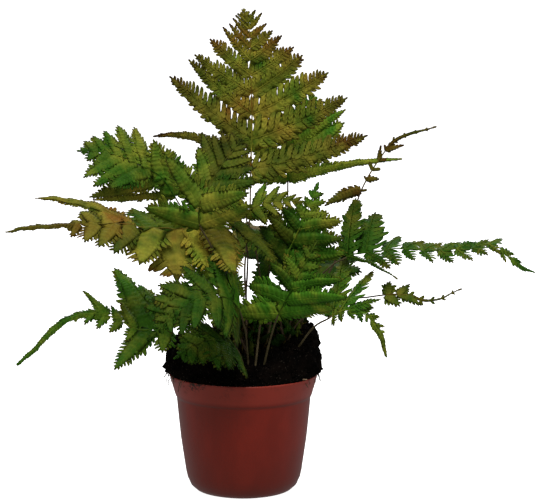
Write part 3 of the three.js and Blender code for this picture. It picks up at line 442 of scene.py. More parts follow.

# path: the rib from the soil to its tip. bare: the share of it that is stalk. face: where the
# upper side looks. pairs: pairs of branches, whose gaps shrink by crowding. reach: length of the
# longest branch on the left and the right. angles: of branches to the rib, first and last. leaf:
# half the width of the widest branch. hues and brightness_and_painted_light: from green, 0, to
# bronze, 1, and how bright, at the first and the last branch; that brightness is partly the
# leaves' own and partly painted light and shade. own: branches that differ, by pair and side,
# with their length, angle, half width, lift in degrees, droop, how late they narrow, and their
# tint_and_light, a bronze and a brightness that is partly painted light and shade.
FRONDS = [
    dict(name="frond_tall", slot="olive_leaf",
         path=[(10, 6, 103), (4, 10, 137), (1, 14, 177), (5, 20, 217), (6, 24, 260), (7, 25, 286),
               (7, 24, 314), (6, 20, 342), (5, 13, 370), (0, 5, 388)],
         bare=0.54, face=(0, -1, 0.05), pairs=12, crowding=0.84, reach=(92, 98), angles=(70, 40),
         leaf=14, hues=(0.8, 1.1), brightness_and_painted_light=(0.65, 1.25), skew=7, droop=0, full=1.3, web=(0.35, 0.8),
         slit=(0.26, 0.05), over=-0.24, dark=0.68,
         own={
             (0, LEFT): dict(length=102, angle=50, droop=0.5, wide=7, fade=0.8),
             (0, RIGHT): dict(length=95, angle=78, wide=10, tint_and_light=(0.6, 0.65)),
             (1, LEFT): dict(length=78, angle=59, tint_and_light=(1, 0.55)),
             (1, RIGHT): dict(length=80, angle=70, wide=11.5, fade=2),
             (2, RIGHT): dict(length=66, angle=67, wide=10, tint_and_light=(1.2, 1.1)),
             (3, LEFT): dict(length=51, angle=59),
             (3, RIGHT): dict(length=47, angle=60, wide=8.5, fade=5),
             (4, LEFT): dict(length=40, angle=50, wide=6, fade=4),
             (4, RIGHT): dict(length=38, angle=64, wide=6.5),
             (5, RIGHT): dict(length=29, angle=57, wide=5.5),
             (6, RIGHT): dict(length=20, angle=57, wide=4.5, tint_and_light=(0.6, 1.15)),
             (7, RIGHT): dict(length=15, angle=57, wide=2.6),
         }),
    dict(name="frond_left_long", slot="bronze_leaf",
         path=[(3, -12, 104), (2, -20, 157), (3, -32, 199), (-5, -44, 224), (-34, -62, 221),
               (-64, -76, 223), (-101, -84, 228), (-131, -88, 227), (-158, -88, 226),
               (-180, -86, 221)],
         bare=0.41, face=(0.1, -0.6, 0.8), pairs=13, crowding=0.95, reach=(50, 36),
         angles=(80, 50), leaf=18, hues=(1.1, 1.2), brightness_and_painted_light=(0.9, 0.45), tail=0.2, bulge=1.5,
         droop=0.2, full=1.9, strip=5,
         own={
             (0, LEFT): dict(length=50, angle=112, lift=16, wide=7, tint_and_light=(0.4, 0.5)),
             (2, LEFT): dict(length=30, angle=98, tint_and_light=(1.4, 1.65)),
             (3, LEFT): dict(length=36, angle=90, lift=-20, droop=0.1, wide=16, fade=1.5),
             (3, RIGHT): dict(tint_and_light=(0.3, 0.6)),
             (4, LEFT): dict(length=32, angle=70, wide=9, tint_and_light=(1, 0.85)),
             (4, RIGHT): dict(length=29, angle=68, tint_and_light=(0.3, 0.65)),
             (5, LEFT): dict(length=27, angle=62, tint_and_light=(0.6, 0.45)),
             (5, RIGHT): dict(length=86, angle=38, droop=0.3, wide=3),
             (6, LEFT): dict(tint_and_light=(1.1, 0.55)),
             (6, RIGHT): dict(length=25, angle=63, wide=7, tint_and_light=(1.3, 0.9)),
             (7, RIGHT): dict(length=20, angle=65, wide=4),
         }),
    dict(name="frond_left_high", slot="green_leaf",
         path=[(-4, 14, 101), (-18, 18, 160), (-39, 14, 208), (-55, 6, 238), (-65, 0, 254),
               (-79, -8, 264), (-98, -16, 273), (-115, -22, 277), (-130, -28, 278)],
         bare=0.61, face=(-0.2, -0.75, 0.65), pairs=8, crowding=0.9, reach=(36, 44),
         angles=(72, 45), leaf=12, hues=(0.35, 0.1), brightness_and_painted_light=(1.25, 0.6), bulge=1.8, droop=0.1,
         full=1.8,
         own={
             (0, LEFT): dict(length=63, angle=65, lift=-30, wide=2.5, tint_and_light=(0.6, 1.05)),
             (0, RIGHT): dict(length=38, angle=25, wide=8, tint_and_light=(0.3, 0.85)),
             (1, LEFT): dict(length=57, angle=57, lift=-16, wide=5, tint_and_light=(0.5, 1.05)),
             (1, RIGHT): dict(length=31, angle=34, wide=7),
             (2, LEFT): dict(length=42, angle=44, wide=6, tint_and_light=(0.3, 0.75)),
             (3, LEFT): dict(length=42, angle=49, wide=5),
             (4, LEFT): dict(length=37, angle=44, wide=4.5),
         }),
    dict(name="frond_centre", slot="green_leaf",
         path=[(-4, -14, 102), (-12, -50, 167), (-23, -80, 206), (-33, -94, 229), (-32, -100, 245),
               (-25, -97, 259), (-14, -89, 275), (-1, -79, 292)],
         bare=0.66, face=(-0.3, -0.95, 0.2), pairs=8, crowding=0.85, reach=(58, 44),
         angles=(66, 42), leaf=16, hues=(0.35, 0.5), brightness_and_painted_light=(1.1, 0.3), bulge=1.5, droop=0.04,
         full=1.8,
         own={
             (0, LEFT): dict(length=40, angle=66, wide=7.5),
             (0, RIGHT): dict(length=44, angle=76, wide=7, tint_and_light=(0.5, 1.15)),
             (1, LEFT): dict(length=42, angle=56, wide=6.5),
             (1, RIGHT): dict(length=38, angle=60, wide=6),
             (2, LEFT): dict(length=32, angle=45, wide=5),
             (2, RIGHT): dict(tint_and_light=(0.3, 0.5)),
             (3, LEFT): dict(tint_and_light=(0.6, 0.4)),
             (3, RIGHT): dict(tint_and_light=(0.3, 0.4)),
             (4, LEFT): dict(tint_and_light=(0.7, 0.35)),
             (5, LEFT): dict(tint_and_light=(0.7, 0.3)),
         }),
    dict(name="frond_right_long", slot="green_leaf",
         path=[(33, 0, 104), (46, -8, 151), (64, -16, 180), (83, -24, 194), (103, -30, 199),
               (126, -36, 201), (153, -42, 201), (176, -46, 203), (191, -50, 207), (202, -52, 201),
               (214, -54, 191), (226, -58, 185)],
         bare=0.41, face=(0, -0.45, 0.9), pairs=12, crowding=0.96, reach=(21, 18), angles=(62, 42),
         leaf=10, hues=(0.15, 0.15), brightness_and_painted_light=(0.65, 1), bulge=3, droop=0.15, web=(0.4, 0.7),
         slit=(0.26, 0.05), over=-0.24, strip=4.2,
         own={
             (0, LEFT): dict(length=55, angle=71, lift=32, wide=9),
             (0, RIGHT): dict(length=52, angle=39, droop=0.3, wide=2),
             (1, LEFT): dict(length=46, angle=89, lift=20, wide=9),
             (1, RIGHT): dict(length=26, angle=46, wide=5),
             (2, LEFT): dict(length=24, angle=78, wide=5.5),
             (3, RIGHT): dict(length=13, angle=54),
             (4, RIGHT): dict(length=14, angle=57),
         }),
    dict(name="frond_low_left", slot="green_leaf",
         path=[(-6, 0, 102), (-24, -18, 134), (-43, -34, 143), (-62, -42, 140), (-81, -50, 140),
               (-95, -54, 147), (-106, -57, 153), (-123, -60, 154), (-138, -63, 150),
               (-151, -66, 139), (-161, -68, 128), (-175, -70, 116)],
         bare=0.39, face=(0, -0.7, 0.7), pairs=12, crowding=0.97, reach=(26, 14), angles=(70, 45),
         leaf=10, hues=(0.15, 0.25), brightness_and_painted_light=(1.2, 1.1), tail=0.3, strip=6,
         own={
             (0, LEFT): dict(length=20, angle=66, wide=7),
             (0, RIGHT): dict(length=53, angle=91, wide=7),
             (1, LEFT): dict(length=43, angle=40, wide=7.5, tint_and_light=(0.1, 0.85)),
             (1, RIGHT): dict(length=74, angle=89, wide=12, fade=1.3),
             (2, LEFT): dict(length=12, angle=65),
             (2, RIGHT): dict(length=24, angle=62, wide=4.5),
             (3, LEFT): dict(length=12, angle=63),
             (3, RIGHT): dict(length=14, angle=50, wide=3.5),
             (4, RIGHT): dict(length=27, angle=47, wide=5, fade=1),
         }),
    dict(name="frond_front_left", slot="green_leaf",
         path=[(4, -26, 102), (2, -50, 133), (-1, -72, 152), (-6, -92, 167), (-17, -107, 176),
               (-30, -120, 178), (-44, -132, 173), (-57, -141, 162), (-70, -146, 150)],
         bare=0.45, face=(0.1, -0.8, 0.6), pairs=9, crowding=0.88, reach=(38, 48), angles=(84, 45),
         leaf=16, hues=(0.1, 0.1), brightness_and_painted_light=(0.6, 0.5), droop=0.14, full=1.75,
         own={
             (0, LEFT): dict(length=33, angle=73, tint_and_light=(0.2, 0.3)),
             (0, RIGHT): dict(tint_and_light=(0.1, 1.1)),
             (2, RIGHT): dict(length=34, angle=56),
             (3, LEFT): dict(length=27, angle=46, wide=5.5),
             (3, RIGHT): dict(length=32, angle=46, wide=6),
             (4, LEFT): dict(length=25, angle=40, wide=4.5, tint_and_light=(0.1, 0.35)),
             (4, RIGHT): dict(length=25, angle=50, wide=6),
             (5, RIGHT): dict(length=23, angle=62, wide=5),
         }),
    dict(name="frond_front_right", slot="green_leaf",
         path=[(15, -28, 102), (21, -50, 133), (27, -67, 155), (34, -80, 171), (40, -88, 185),
               (47, -93, 199), (55, -95, 215)],
         bare=0.48, face=(0, -0.9, 0.45), pairs=7, crowding=0.86, reach=(46, 38), angles=(78, 45),
         leaf=16, hues=(0.1, 0.1), brightness_and_painted_light=(1.6, 0.6), full=1.5,
         own={
             (0, LEFT): dict(length=43, angle=126, wide=9),
             (0, RIGHT): dict(length=52, angle=42, wide=7, tint_and_light=(0.1, 1.35)),
             (1, LEFT): dict(length=35, angle=111, wide=8),
             (1, RIGHT): dict(length=58, angle=38, wide=6),
             (2, LEFT): dict(tint_and_light=(0.1, 0.75)),
             (2, RIGHT): dict(length=44, angle=41, wide=5),
         }),
    dict(name="frond_right_low", slot="green_leaf",
         path=[(35, -14, 105), (53, -34, 136), (67, -46, 148), (76, -54, 155), (85, -58, 157),
               (95, -60, 152), (105, -62, 140), (111, -62, 121)],
         bare=0.5, face=(0.1, -0.6, 0.8), pairs=9, crowding=0.97, reach=(20, 12), angles=(72, 42),
         leaf=9, hues=(0.25, 0.3), brightness_and_painted_light=(1.05, 0.95), droop=0.1, web=(0.4, 0.7),
         slit=(0.26, 0.05), over=-0.24, strip=4.5,
         own={
             (0, LEFT): dict(length=67, angle=89, wide=8.5),
             (1, LEFT): dict(length=47, angle=70, wide=7),
             (2, LEFT): dict(length=24, angle=33, wide=4),
         }),
    dict(name="frond_right_mid", slot="green_leaf",
         path=[(14, -16, 103), (25, -38, 160), (34, -56, 199), (41, -65, 217), (47, -70, 231),
               (52, -72, 244), (57, -71, 257)],
         bare=0.6, face=(0, -0.95, 0.3), pairs=7, crowding=0.84, reach=(36, 40), angles=(76, 38),
         leaf=14, hues=(0.25, 0.35), brightness_and_painted_light=(1.1, 1.15), droop=0.1, full=1.5,
         own={
             (0, LEFT): dict(tint_and_light=(0.1, 0.5)),
             (0, RIGHT): dict(length=46, angle=62, wide=7, tint_and_light=(0.1, 1.2)),
             (1, LEFT): dict(tint_and_light=(0.1, 0.5)),
             (1, RIGHT): dict(length=39, angle=52, wide=7, tint_and_light=(0.1, 0.8)),
             (2, LEFT): dict(tint_and_light=(0.1, 0.6)),
             (2, RIGHT): dict(length=33, angle=48, wide=6),
             (3, LEFT): dict(length=12, angle=55),
             (4, LEFT): dict(length=7, angle=45),
         }),
    dict(name="frond_bronze_right", slot="bronze_leaf",
         path=[(9, -33, 104), (14, -32, 160), (9, -26, 203), (2, -28, 226), (11, -32, 235),
               (25, -35, 239), (39, -37, 239), (50, -38, 237)],
         bare=0.7, face=(0, -0.6, 0.8), pairs=7, crowding=0.9, reach=(32, 28), angles=(75, 45),
         leaf=10, hues=(0.3, 0.45), brightness_and_painted_light=(1.05, 0.5)),
    dict(name="frond_right_thin", slot="dark_leaf",
         path=[(38, 3, 111), (52, 10, 148), (65, 12, 167), (83, 12, 204), (95, 8, 243),
               (112, 2, 273), (125, -2, 286), (153, -8, 295)],
         bare=0.63, face=(0, -1, 0.3), pairs=9, crowding=0.99, reach=(9, 9), angles=(60, 40),
         leaf=4, hues=(1.3, 1.3), brightness_and_painted_light=(0.5, 0.4), droop=0.1, strip=2.2, stalk=0.3,
         own={
             (0, LEFT): dict(length=30, angle=124, droop=0.3, wide=4),
             (0, RIGHT): dict(length=5, angle=60),
             (1, LEFT): dict(length=4, angle=60),
             (3, LEFT): dict(length=10, angle=30, wide=1.6),
             (4, RIGHT): dict(length=13, angle=34, wide=2.2),
         }),
    dict(name="frond_right_strand", slot="dark_leaf",
         path=[(26, -12, 102), (44, -20, 140), (72, -28, 157), (103, -34, 163), (112, -35, 165),
               (126, -36, 165), (141, -37, 161), (154, -38, 162), (171, -38, 170)],
         bare=0.66, face=(0, -0.8, 0.6), pairs=7, crowding=0.99, reach=(10, 10), angles=(65, 40),
         leaf=7, hues=(0.35, 1.1), brightness_and_painted_light=(0.75, 0.4), tail=0.5, droop=0.1, strip=2, stalk=0.35,
         own={
             (0, LEFT): dict(length=11, angle=80, wide=4.5),
             (0, RIGHT): dict(length=12, angle=50, wide=5),
             (1, LEFT): dict(length=12, angle=55, wide=3.5),
             (1, RIGHT): dict(length=17, angle=22, wide=3.5),
         }),
    dict(name="frond_back", slot="olive_leaf",
         path=[(29, 22, 101), (35, 46, 155), (37, 58, 204), (37, 60, 246), (39, 62, 266),
               (43, 64, 287), (50, 66, 303), (58, 64, 317)],
         bare=0.67, face=(0, -1, 0.15), pairs=8, crowding=0.87, reach=(60, 94), angles=(82, 45),
         leaf=13, hues=(0.4, 0.1), brightness_and_painted_light=(1.5, 1.3), droop=0.1,
         own={
             (0, LEFT): dict(length=42, angle=94, wide=3.5),
             (0, RIGHT): dict(length=97, angle=71, lift=8, droop=0.22, wide=5, fade=1),
             (1, RIGHT): dict(length=54, angle=46, wide=9),
             (2, RIGHT): dict(length=52, angle=46, wide=5),
             (3, RIGHT): dict(length=36, angle=37, wide=4),
             (4, RIGHT): dict(length=26, angle=22),
         }),
    dict(name="frond_soil_left", slot="dark_leaf",
         path=[(2, -36, 100), (-4, -50, 122), (-13, -64, 133), (-28, -78, 136), (-42, -88, 132),
               (-52, -94, 126)],
         bare=0.36, face=(0.25, -0.55, 0.8), pairs=6, crowding=0.9, reach=(46, 40),
         angles=(88, 45), leaf=11, hues=(0.05, 0.05), brightness_and_painted_light=(0.4, 0.95), full=1.95,
         own={
             (0, LEFT): dict(length=30, angle=87),
             (0, RIGHT): dict(length=44, angle=48),
             (1, LEFT): dict(length=29, angle=68),
             (1, RIGHT): dict(length=40, angle=48, tint_and_light=(0.1, 0.3)),
         }),
    dict(name="frond_mid_dark", slot="dark_leaf",
         path=[(22, 2, 104), (22, -6, 152), (20, -16, 175), (22, -27, 190), (29, -38, 201),
               (40, -50, 208), (53, -60, 212)],
         bare=0.62, face=(-0.1, -0.85, 0.5), pairs=6, crowding=0.86, reach=(40, 40),
         angles=(84, 45), leaf=14, hues=(0.05, 0.05), brightness_and_painted_light=(0.8, 0.4),
         own={
             (0, LEFT): dict(length=26, angle=150, droop=0.6, wide=6),
             (1, LEFT): dict(length=45, angle=145, wide=6),
         }),
    dict(name="frond_mid_left", slot="dark_leaf",
         path=[(-16, 8, 102), (-15, -2, 146), (-14, -20, 171), (-18, -33, 187), (-27, -40, 196),
               (-38, -48, 201), (-51, -54, 204)],
         bare=0.62, face=(0.1, -0.85, 0.5), pairs=6, crowding=0.86, reach=(38, 40),
         angles=(84, 45), leaf=14, hues=(0.1, 0.3), brightness_and_painted_light=(1.95, 1.75),
         own={
             (0, RIGHT): dict(length=30, angle=150, droop=0.4, wide=6),
             (1, RIGHT): dict(length=30, angle=125, wide=6),
         }),
    dict(name="frond_back_left", slot="green_leaf",
         path=[(6, 32, 101), (-4, 50, 146), (-16, 70, 175), (-26, 88, 187), (-40, 116, 190),
               (-55, 146, 184), (-67, 176, 167)],
         bare=0.46, face=(0, -0.2, 1), pairs=6, crowding=0.92, reach=(50, 50), angles=(76, 45),
         leaf=12, hues=(0.45, 0.45), brightness_and_painted_light=(0.65, 0.65)),
    dict(name="frond_back_right", slot="green_leaf",
         path=[(23, 36, 100), (34, 56, 141), (47, 80, 163), (56, 96, 175), (70, 124, 178),
               (83, 150, 169), (91, 172, 149)],
         bare=0.44, face=(0, -0.2, 1), pairs=6, crowding=0.92, reach=(48, 48), angles=(76, 45),
         leaf=12, hues=(0.1, 0.1), brightness_and_painted_light=(0.4, 0.4)),
    dict(name="frond_back_mid", slot="bronze_leaf",
         path=[(14, 42, 100), (15, 62, 149), (15, 88, 181), (15, 110, 192), (15, 140, 197),
               (17, 170, 189), (20, 196, 171)],
         bare=0.5, face=(0, -0.2, 1), pairs=6, crowding=0.92, reach=(42, 42), angles=(76, 45),
         leaf=11, hues=(0.95, 0.95), brightness_and_painted_light=(0.45, 0.45)),
]

# The solids' own rule, which puts every branch here where its solid is.
STALK_RADIUS, RIB_RADIUS, RIB_TIP_RADIUS = 1.3, 0.9, 0.5
BRANCH_RADIUS, BRANCH_TIP_RADIUS = 0.5, 0.22
BRANCH_SWEEP = 0.1  # branches curve towards the frond's tip
AHEAD, BEHIND = 1.12, 0.88  # leaflets on the side towards the frond's tip are longer
SPIKE_LENGTH = 7  # a shorter branch is one leaflet
BLADE_HALF = 0.4  # half the thickness of the solid's blade
BEND_TURNS = [0, 12, -12, 24, -24, 36, -36]
BEND_LENGTHS = [1, 0.86, 0.72, 0.58, 0.44, 0.3]
FADE = 2.8  # a branch keeps its width till near its tip
LENGTH_SPREAD, ANGLE_SPREAD, TILT_SPREAD = 0.06, 2.5, 0.2
LEAST_LENGTH, TAIL_LENGTH = 2.5, 5  # no branch is shorter, and in a tail by that much
SLENDER, FILLED = 0.3, 0.48  # half a branch's width against its length and against its room
SAME_PLACE = 0.01

# What is finer here than in the solids, in millimetres where it is a length.
RIB_SLIM, BRANCH_SLIM = 0.7, 0.8  # ribs and branch stalks against the solid's
RIB_STEP = 4  # from one ring of a rib to the next
BRANCH_RAISED = 0.15
BRANCH_RINGS, WEB_RINGS = 10, 14
TUBE_SIDES = 6
PITCH = 0.56  # the room of a leaflet along its branch, as a share of its length
LEAST_PITCH = 2.7
TAIL_PITCH = 2.4  # the same on the rib itself
LAST_LEAFLET = 0.97  # how far along the branch leaflets stand
NARROWING = 0.85  # how much shorter leaflets are at the branch's tip
OVERLAP = 1.14  # width of a leaflet against its room
BLADE = 0.3
LEAN, LEAN_SPREAD = 0.55, 0.05  # leaflets point forward
ROLL, ROLL_SPREAD = 0.02, 0.03
ARCH, ARCH_SPREAD = 0.1, 0.05  # their tips bend down
SAG, BOW = 0.06, 0.12  # their middles hang and swing back
REACH_SPREAD, TAIL_REACH_SPREAD, TINT_SPREAD = 0.11, 0.1, 0.07
HUE_SPREAD, SHADE_SPREAD = 0.06, 0.08  # of whole branches, and of the rib's own leaflets
TIP_BRONZE, TIP_HALF = 0.5, 0.9  # the leaflet at a branch's tip: how much browner, half width
TEETH, SCALE_TEETH = 0.06, 0.12
SLIT_FOOT = 0.3  # up to here leaflets keep their width, which slits then cut down
ROUNDED = 0.68  # from here to the tip a leaflet rounds off
EDGE_DROP = 0.14
WEB_HALF, WEB_DROP, WEB_CURL = 0.06, 0.07, 0.09  # half its thickness, and how its sides hang
TAIL_LEAN, TAIL_LEAST = 0.8, 0.15  # how the rib's own leaflets point forward and get shorter
TAIL_END = 3.5  # length of the leaflet at the rib's end
LONG_LEAFLET = 6  # longer ones have more rings and six sides, not four
LONG_LEVELS = np.array([0, 0.25, 0.45, 0.63, 0.79, 0.93])
SHORT_LEVELS = np.array([0, 0.3, 0.6, 0.84])
VEINS, VEIN_SLANT = 26, 5  # a leaflet's side veins: radians from foot to tip, and to the edge
NO_TIP = 40  # the web counts its leaflets from this far below 0, so that it has no brown tip


def unit(vectors):
    return vectors / np.linalg.norm(vectors, axis=-1, keepdims=True)


class RibLine:
    """A smooth line through points. From one to the next it is the cubic whose slope at each is
    half the step from the point before to the point after. It is read by share of its length."""

    def __init__(self, points):
        points = np.array(points, float)
        self.spans = len(points) - 1
        ends = 2 * points[0] - points[1], 2 * points[-1] - points[-2]
        self.knots = np.vstack([ends[0], points, ends[1]])
        self.times = np.linspace(0, 1, 201)
        steps = np.linalg.norm(np.diff(self.at(self.times), axis=0), axis=1)
        self.lengths = np.concatenate([[0], np.cumsum(steps)])
        self.long = self.lengths[-1]

    def at(self, time):
        time = np.clip(time, 0, 1) * self.spans
        knot = np.minimum(np.floor(time).astype(int), self.spans - 1)
        w = (time - knot)[:, None]
        before, here, ahead, after = (self.knots[knot + i] for i in range(4))
        slope, slope_ahead = (ahead - before) / 2, (after - here) / 2
        bow = 3 * (ahead - here) - 2 * slope - slope_ahead
        return here + slope * w + bow * w**2 + (slope + slope_ahead - 2 * (ahead - here)) * w**3

    def frames(self, share, face):
        """Place, way the rib runs, upper side and left side at each share of the length."""
        time = np.interp(share * self.long, self.lengths, self.times)
        run = unit(self.at(np.minimum(time + 1e-4, 1)) - self.at(np.maximum(time - 1e-4, 0)))
        upper = unit(face - (run @ face)[:, None] * run)
        return self.at(time), run, upper, np.cross(upper, run)


def scatter(frond, pair, side, salt):
    """A repeatable draw between -1 and 1 for one branch."""
    seed = math.sin(frond["index"] * 12.9898 + pair * 78.233 + side * 37.719 + salt * 4.581)
    return 2 * (seed * 43758.5453 - math.floor(seed * 43758.5453)) - 1


def blade_share(frond, pair):
    return (1 - frond["crowding"] ** pair) / (1 - frond["crowding"] ** frond["pairs"])


def branch_place(frond, pair):
    """Each gap between two pairs is crowding times the gap before it."""
    return frond["bare"] + (1 - frond["bare"]) * blade_share(frond, pair)


def branch_plan(frond, pair, side):
    """How the branch of one pair grows on one side, by the rule that its solid has too."""
    share = blade_share(frond, pair)
    own = dict(lift=0, droop=frond["droop"], fade=FADE)
    own.update(frond["own"].get((pair, side), {}))
    taper = max(0, 1 - (share / (1 - frond["tail"])) ** frond["bulge"])
    full = frond["reach"][side == RIGHT] * taper
    full = full * (1 + LENGTH_SPREAD * scatter(frond, pair, side, 1))
    least = LEAST_LENGTH + TAIL_LENGTH * (1 - share) * (frond["tail"] > 0)
    length = own.get("length", max(full, least))
    base, tip = frond["angles"]
    usual = base + (tip - base) * share - side * frond["skew"]
    usual = usual + ANGLE_SPREAD * scatter(frond, pair, side, 2)
    angle = math.radians(own.get("angle", usual))
    here = branch_place(frond, pair)
    ahead = (branch_place(frond, pair + 1) if pair + 1 < frond["pairs"] else 1) - here
    before = here - branch_place(frond, pair - 1) if pair else ahead
    room = (ahead + before) / 2 * frond["line"].long * math.sin(angle)
    wide = own.get("wide", min(frond["leaf"], SLENDER * length, FILLED * room))
    tilt = TILT_SPREAD * scatter(frond, pair, side, 3)
    return {**own, "pair": pair, "side": side, "share": share, "place": here, "length": length,
            "angle": angle, "wide": wide, "tilt": tilt}


def branch_frames(frond, plan, turn, cut, v):
    """Centre, way along, upper side and left side of a branch at each v from 0 to 1: a straight
    line out of the rib, plus a bend that grows with v squared, forward and down."""
    place, run, upper, left = (a[0] for a in frond["line"].frames(
        np.array([plan["place"]]), frond["face"]))
    lift, length = math.radians(plan["lift"] + turn), plan["length"] * cut
    out = run * math.cos(plan["angle"]) * math.cos(lift) + upper * math.sin(lift)
    out = out + left * plan["side"] * math.sin(plan["angle"]) * math.cos(lift)
    bend = run * BRANCH_SWEEP - np.array([0, 0, plan["droop"]])
    v = np.asarray(v, float)[:, None]
    centre = place + length * (out * v + bend * v**2)
    along = unit(out + 2 * bend * v)
    face = upper + plan["tilt"] * run
    up = unit(face - (along @ face)[:, None] * along)
    return centre, along, up, np.cross(up, along)


def grown_bend(frond, plan, corners):
    """The turn and the cut that keep this branch's solid clear of other fronds: the first pair
    whose tip is a corner of the solid. None where the solid has no such branch."""
    for cut in BEND_LENGTHS:
        for turn in BEND_TURNS:
            centre, _, up, _ = branch_frames(frond, plan, turn, cut, [1])
            if np.linalg.norm(corners - centre - BLADE_HALF * up, axis=1).min() < SAME_PLACE:
                return turn, cut
    return None


class Growth:
    """Closed surfaces that become one mesh. Each is a stack of rings from its foot to its tip."""

    def __init__(self):
        self.points, self.quads, self.fans, self.marks, self.tones = [], [], [], [], []
        self.count = 0

    def add(self, rings, foot, tip, marks, tones):
        """rings: copies x rings x around x 3. marks: where each point is on its leaflet, from
        side to side, from foot to tip, and 1 on top, 0 on the edge, -1 underneath. tones: for
        each copy its bronze, its shade and 1 if it is wood."""
        copies, levels, around, _ = rings.shape
        quads, fans = stacked_faces(levels, around, copies)
        self.quads.append(quads + self.count)
        self.fans.append(fans + self.count)
        points = np.concatenate([rings.reshape(copies, -1, 3), foot[:, None], tip[:, None]], 1)
        self.points.append(points.reshape(-1, 3))
        self.count += len(self.points[-1])
        marks = np.concatenate([marks.reshape(-1, 3), [[0, 0, 0], [0, 1, 0]]])
        self.marks.append(np.tile(marks, (copies, 1)))
        self.tones.append(np.repeat(tones, len(marks), axis=0))

    def piece(self, name, finish):
        traits = {"leaflet": np.concatenate(self.marks), "grown": np.concatenate(self.tones)}
        return new_piece(name, np.concatenate(self.points) * MM, np.concatenate(self.quads),
                         np.concatenate(self.fans), finish, traits)


def tube(growth, centre, along, upper, left, radius, tones):
    """A round tube: at each step of a line a ring of points at the radius round it."""
    angle = 2 * np.pi * np.arange(TUBE_SIDES) / TUBE_SIDES
    aside, above = np.cos(angle)[:, None], np.sin(angle)[:, None]
    around = aside * left[:, None] + above * upper[:, None]
    rings = centre[:, None] + radius[:, None, None] * around
    tip = centre[-1] + along[-1] * radius[-1]
    growth.add(rings[None], centre[:1], tip[None], np.zeros_like(rings), np.array([tones]))


def leaflets(growth, foot, out, width, up, half, arch, teeth, slit, tones, levels, around):
    """Leaflets. The middle line of each is foot + out s + forward BOW (s^2 - s) - up (SAG s +
    arch s^2), with s from 0 to 1 and the last two terms times its length. Each ring across it is
    a thin lens whose edges turn down by EDGE_DROP a^2, with a from -1 to 1 across. Its half width
    is half, less slit past the foot, notched by teeth and rounded off at the tip."""
    s = levels[:, None]
    across = np.array([1, 0.45, -0.45, -1, -0.45, 0.45] if around == 6 else [1, 0, -1, 0])
    side = np.array([0, 1, 1, 0, -1, -1] if around == 6 else [0, 1, 0, -1])
    notch = np.where(np.arange(len(levels)) % 2, 1 + teeth, 1 - teeth)[:, None]
    notch[:2] = 1
    round_off = np.sqrt(1 - np.clip((s - ROUNDED) / (1 - ROUNDED), 0, 1) ** 2.2)
    free = smooth((s - SLIT_FOOT) / SLIT_FOOT)
    wide = half[:, None, None] * (1 - slit[:, None, None] * free) * notch
    wide = wide * round_off
    length = np.linalg.norm(out, axis=1)[:, None, None]
    forward = unit(width) * np.sign((width * out).sum(-1))[:, None]
    line = foot[:, None] + out[:, None] * s
    line = line + forward[:, None] * length * BOW * (s**2 - s)
    line = line - up[:, None] * length * (SAG * s + arch[:, None, None] * s**2)
    high = BLADE * np.where(side < 0, -1, 0) * (1 - 0.5 * s)
    high = high - EDGE_DROP * wide * np.abs(across) ** 2
    rings = (line[:, :, None] + width[:, None, None] * (wide * across)[..., None]
             + up[:, None, None] * high[..., None])
    tip = foot + out - up * length[:, 0] * (SAG + arch[:, None])
    marks = np.stack(np.broadcast_arrays(across, s, side), -1)
    growth.add(rings, foot - 0.5 * BLADE * up, tip, marks, tones)


def narrowed(plan, v):
    """How much of its full width a branch still has at each v from 0 to 1."""
    return 1 - NARROWING * v ** plan["fade"]


def web(growth, centre, along, up, left, reach, high, passed, tones):
    """The sheet that joins the leaflets of one branch: a thin lens across the branch at each
    step, whose left and right half widths are reach. At a, from 0 to 1 sideways, it hangs by
    WEB_DROP a + WEB_CURL a^2 of that. Its middle is high above the branch, or below it, and its
    veins follow the leaflets passed so far."""
    across = np.array([1, 0.5, 0, -0.5, -1, -0.5, 0, 0.5])
    side = np.array([0, 1, 1, 1, 0, -1, -1, -1])
    half = np.where(across > 0, reach[:, :1], reach[:, 1:])
    drop = half * np.abs(across) * (WEB_DROP + WEB_CURL * np.abs(across))
    level = high + WEB_HALF * side - drop
    rings = (centre[:, None] + left[:, None] * (half * across)[..., None]
             + up[:, None] * level[..., None])
    tip = centre[-1] + along[-1] * reach[-1].sum()
    veins = (passed[:, None] - NO_TIP) * 2 * np.pi / VEINS
    marks = np.stack(np.broadcast_arrays(0.7 * across, veins, side), -1)
    growth.add(rings[None], centre[:1], tip[None], marks, tones)


def leaflet_rooms(plan, length):
    """How many leaflets stand on each side of a branch before each v, as two arrays: each has
    room in proportion to its length there."""
    v = np.linspace(0, LAST_LEAFLET, 60)
    room = np.maximum(PITCH * plan["wide"] * narrowed(plan, v), LEAST_PITCH)
    passed = np.concatenate([[0], np.cumsum(length * np.diff(v) * 0.5 * (
        1 / room[1:] + 1 / room[:-1]))])
    return v, passed * max(1, round(passed[-1])) / passed[-1]


def branch_tint_and_light(frond, plan):
    """How bronze a branch is, from 0 to 1, and how bright, which is partly painted light and shade:
    what its frond has at that place, or its own."""
    usual = [np.interp(plan["share"], [0, 1], frond[ends]) for ends in ("hues", "brightness_and_painted_light")]
    tone, shade = plan.get("tint_and_light", usual)
    tone = tone + HUE_SPREAD * scatter(frond, plan["pair"], plan["side"], 5)
    return tone, shade * (1 + SHADE_SPREAD * scatter(frond, plan["pair"], plan["side"], 6))


def single(centre, out, left, up, half, tone, shade):
    """One leaflet as a row of the list that grow_frond gathers."""
    return centre, out, left, up, *(np.full(1, number) for number in (half, tone, shade, 0))


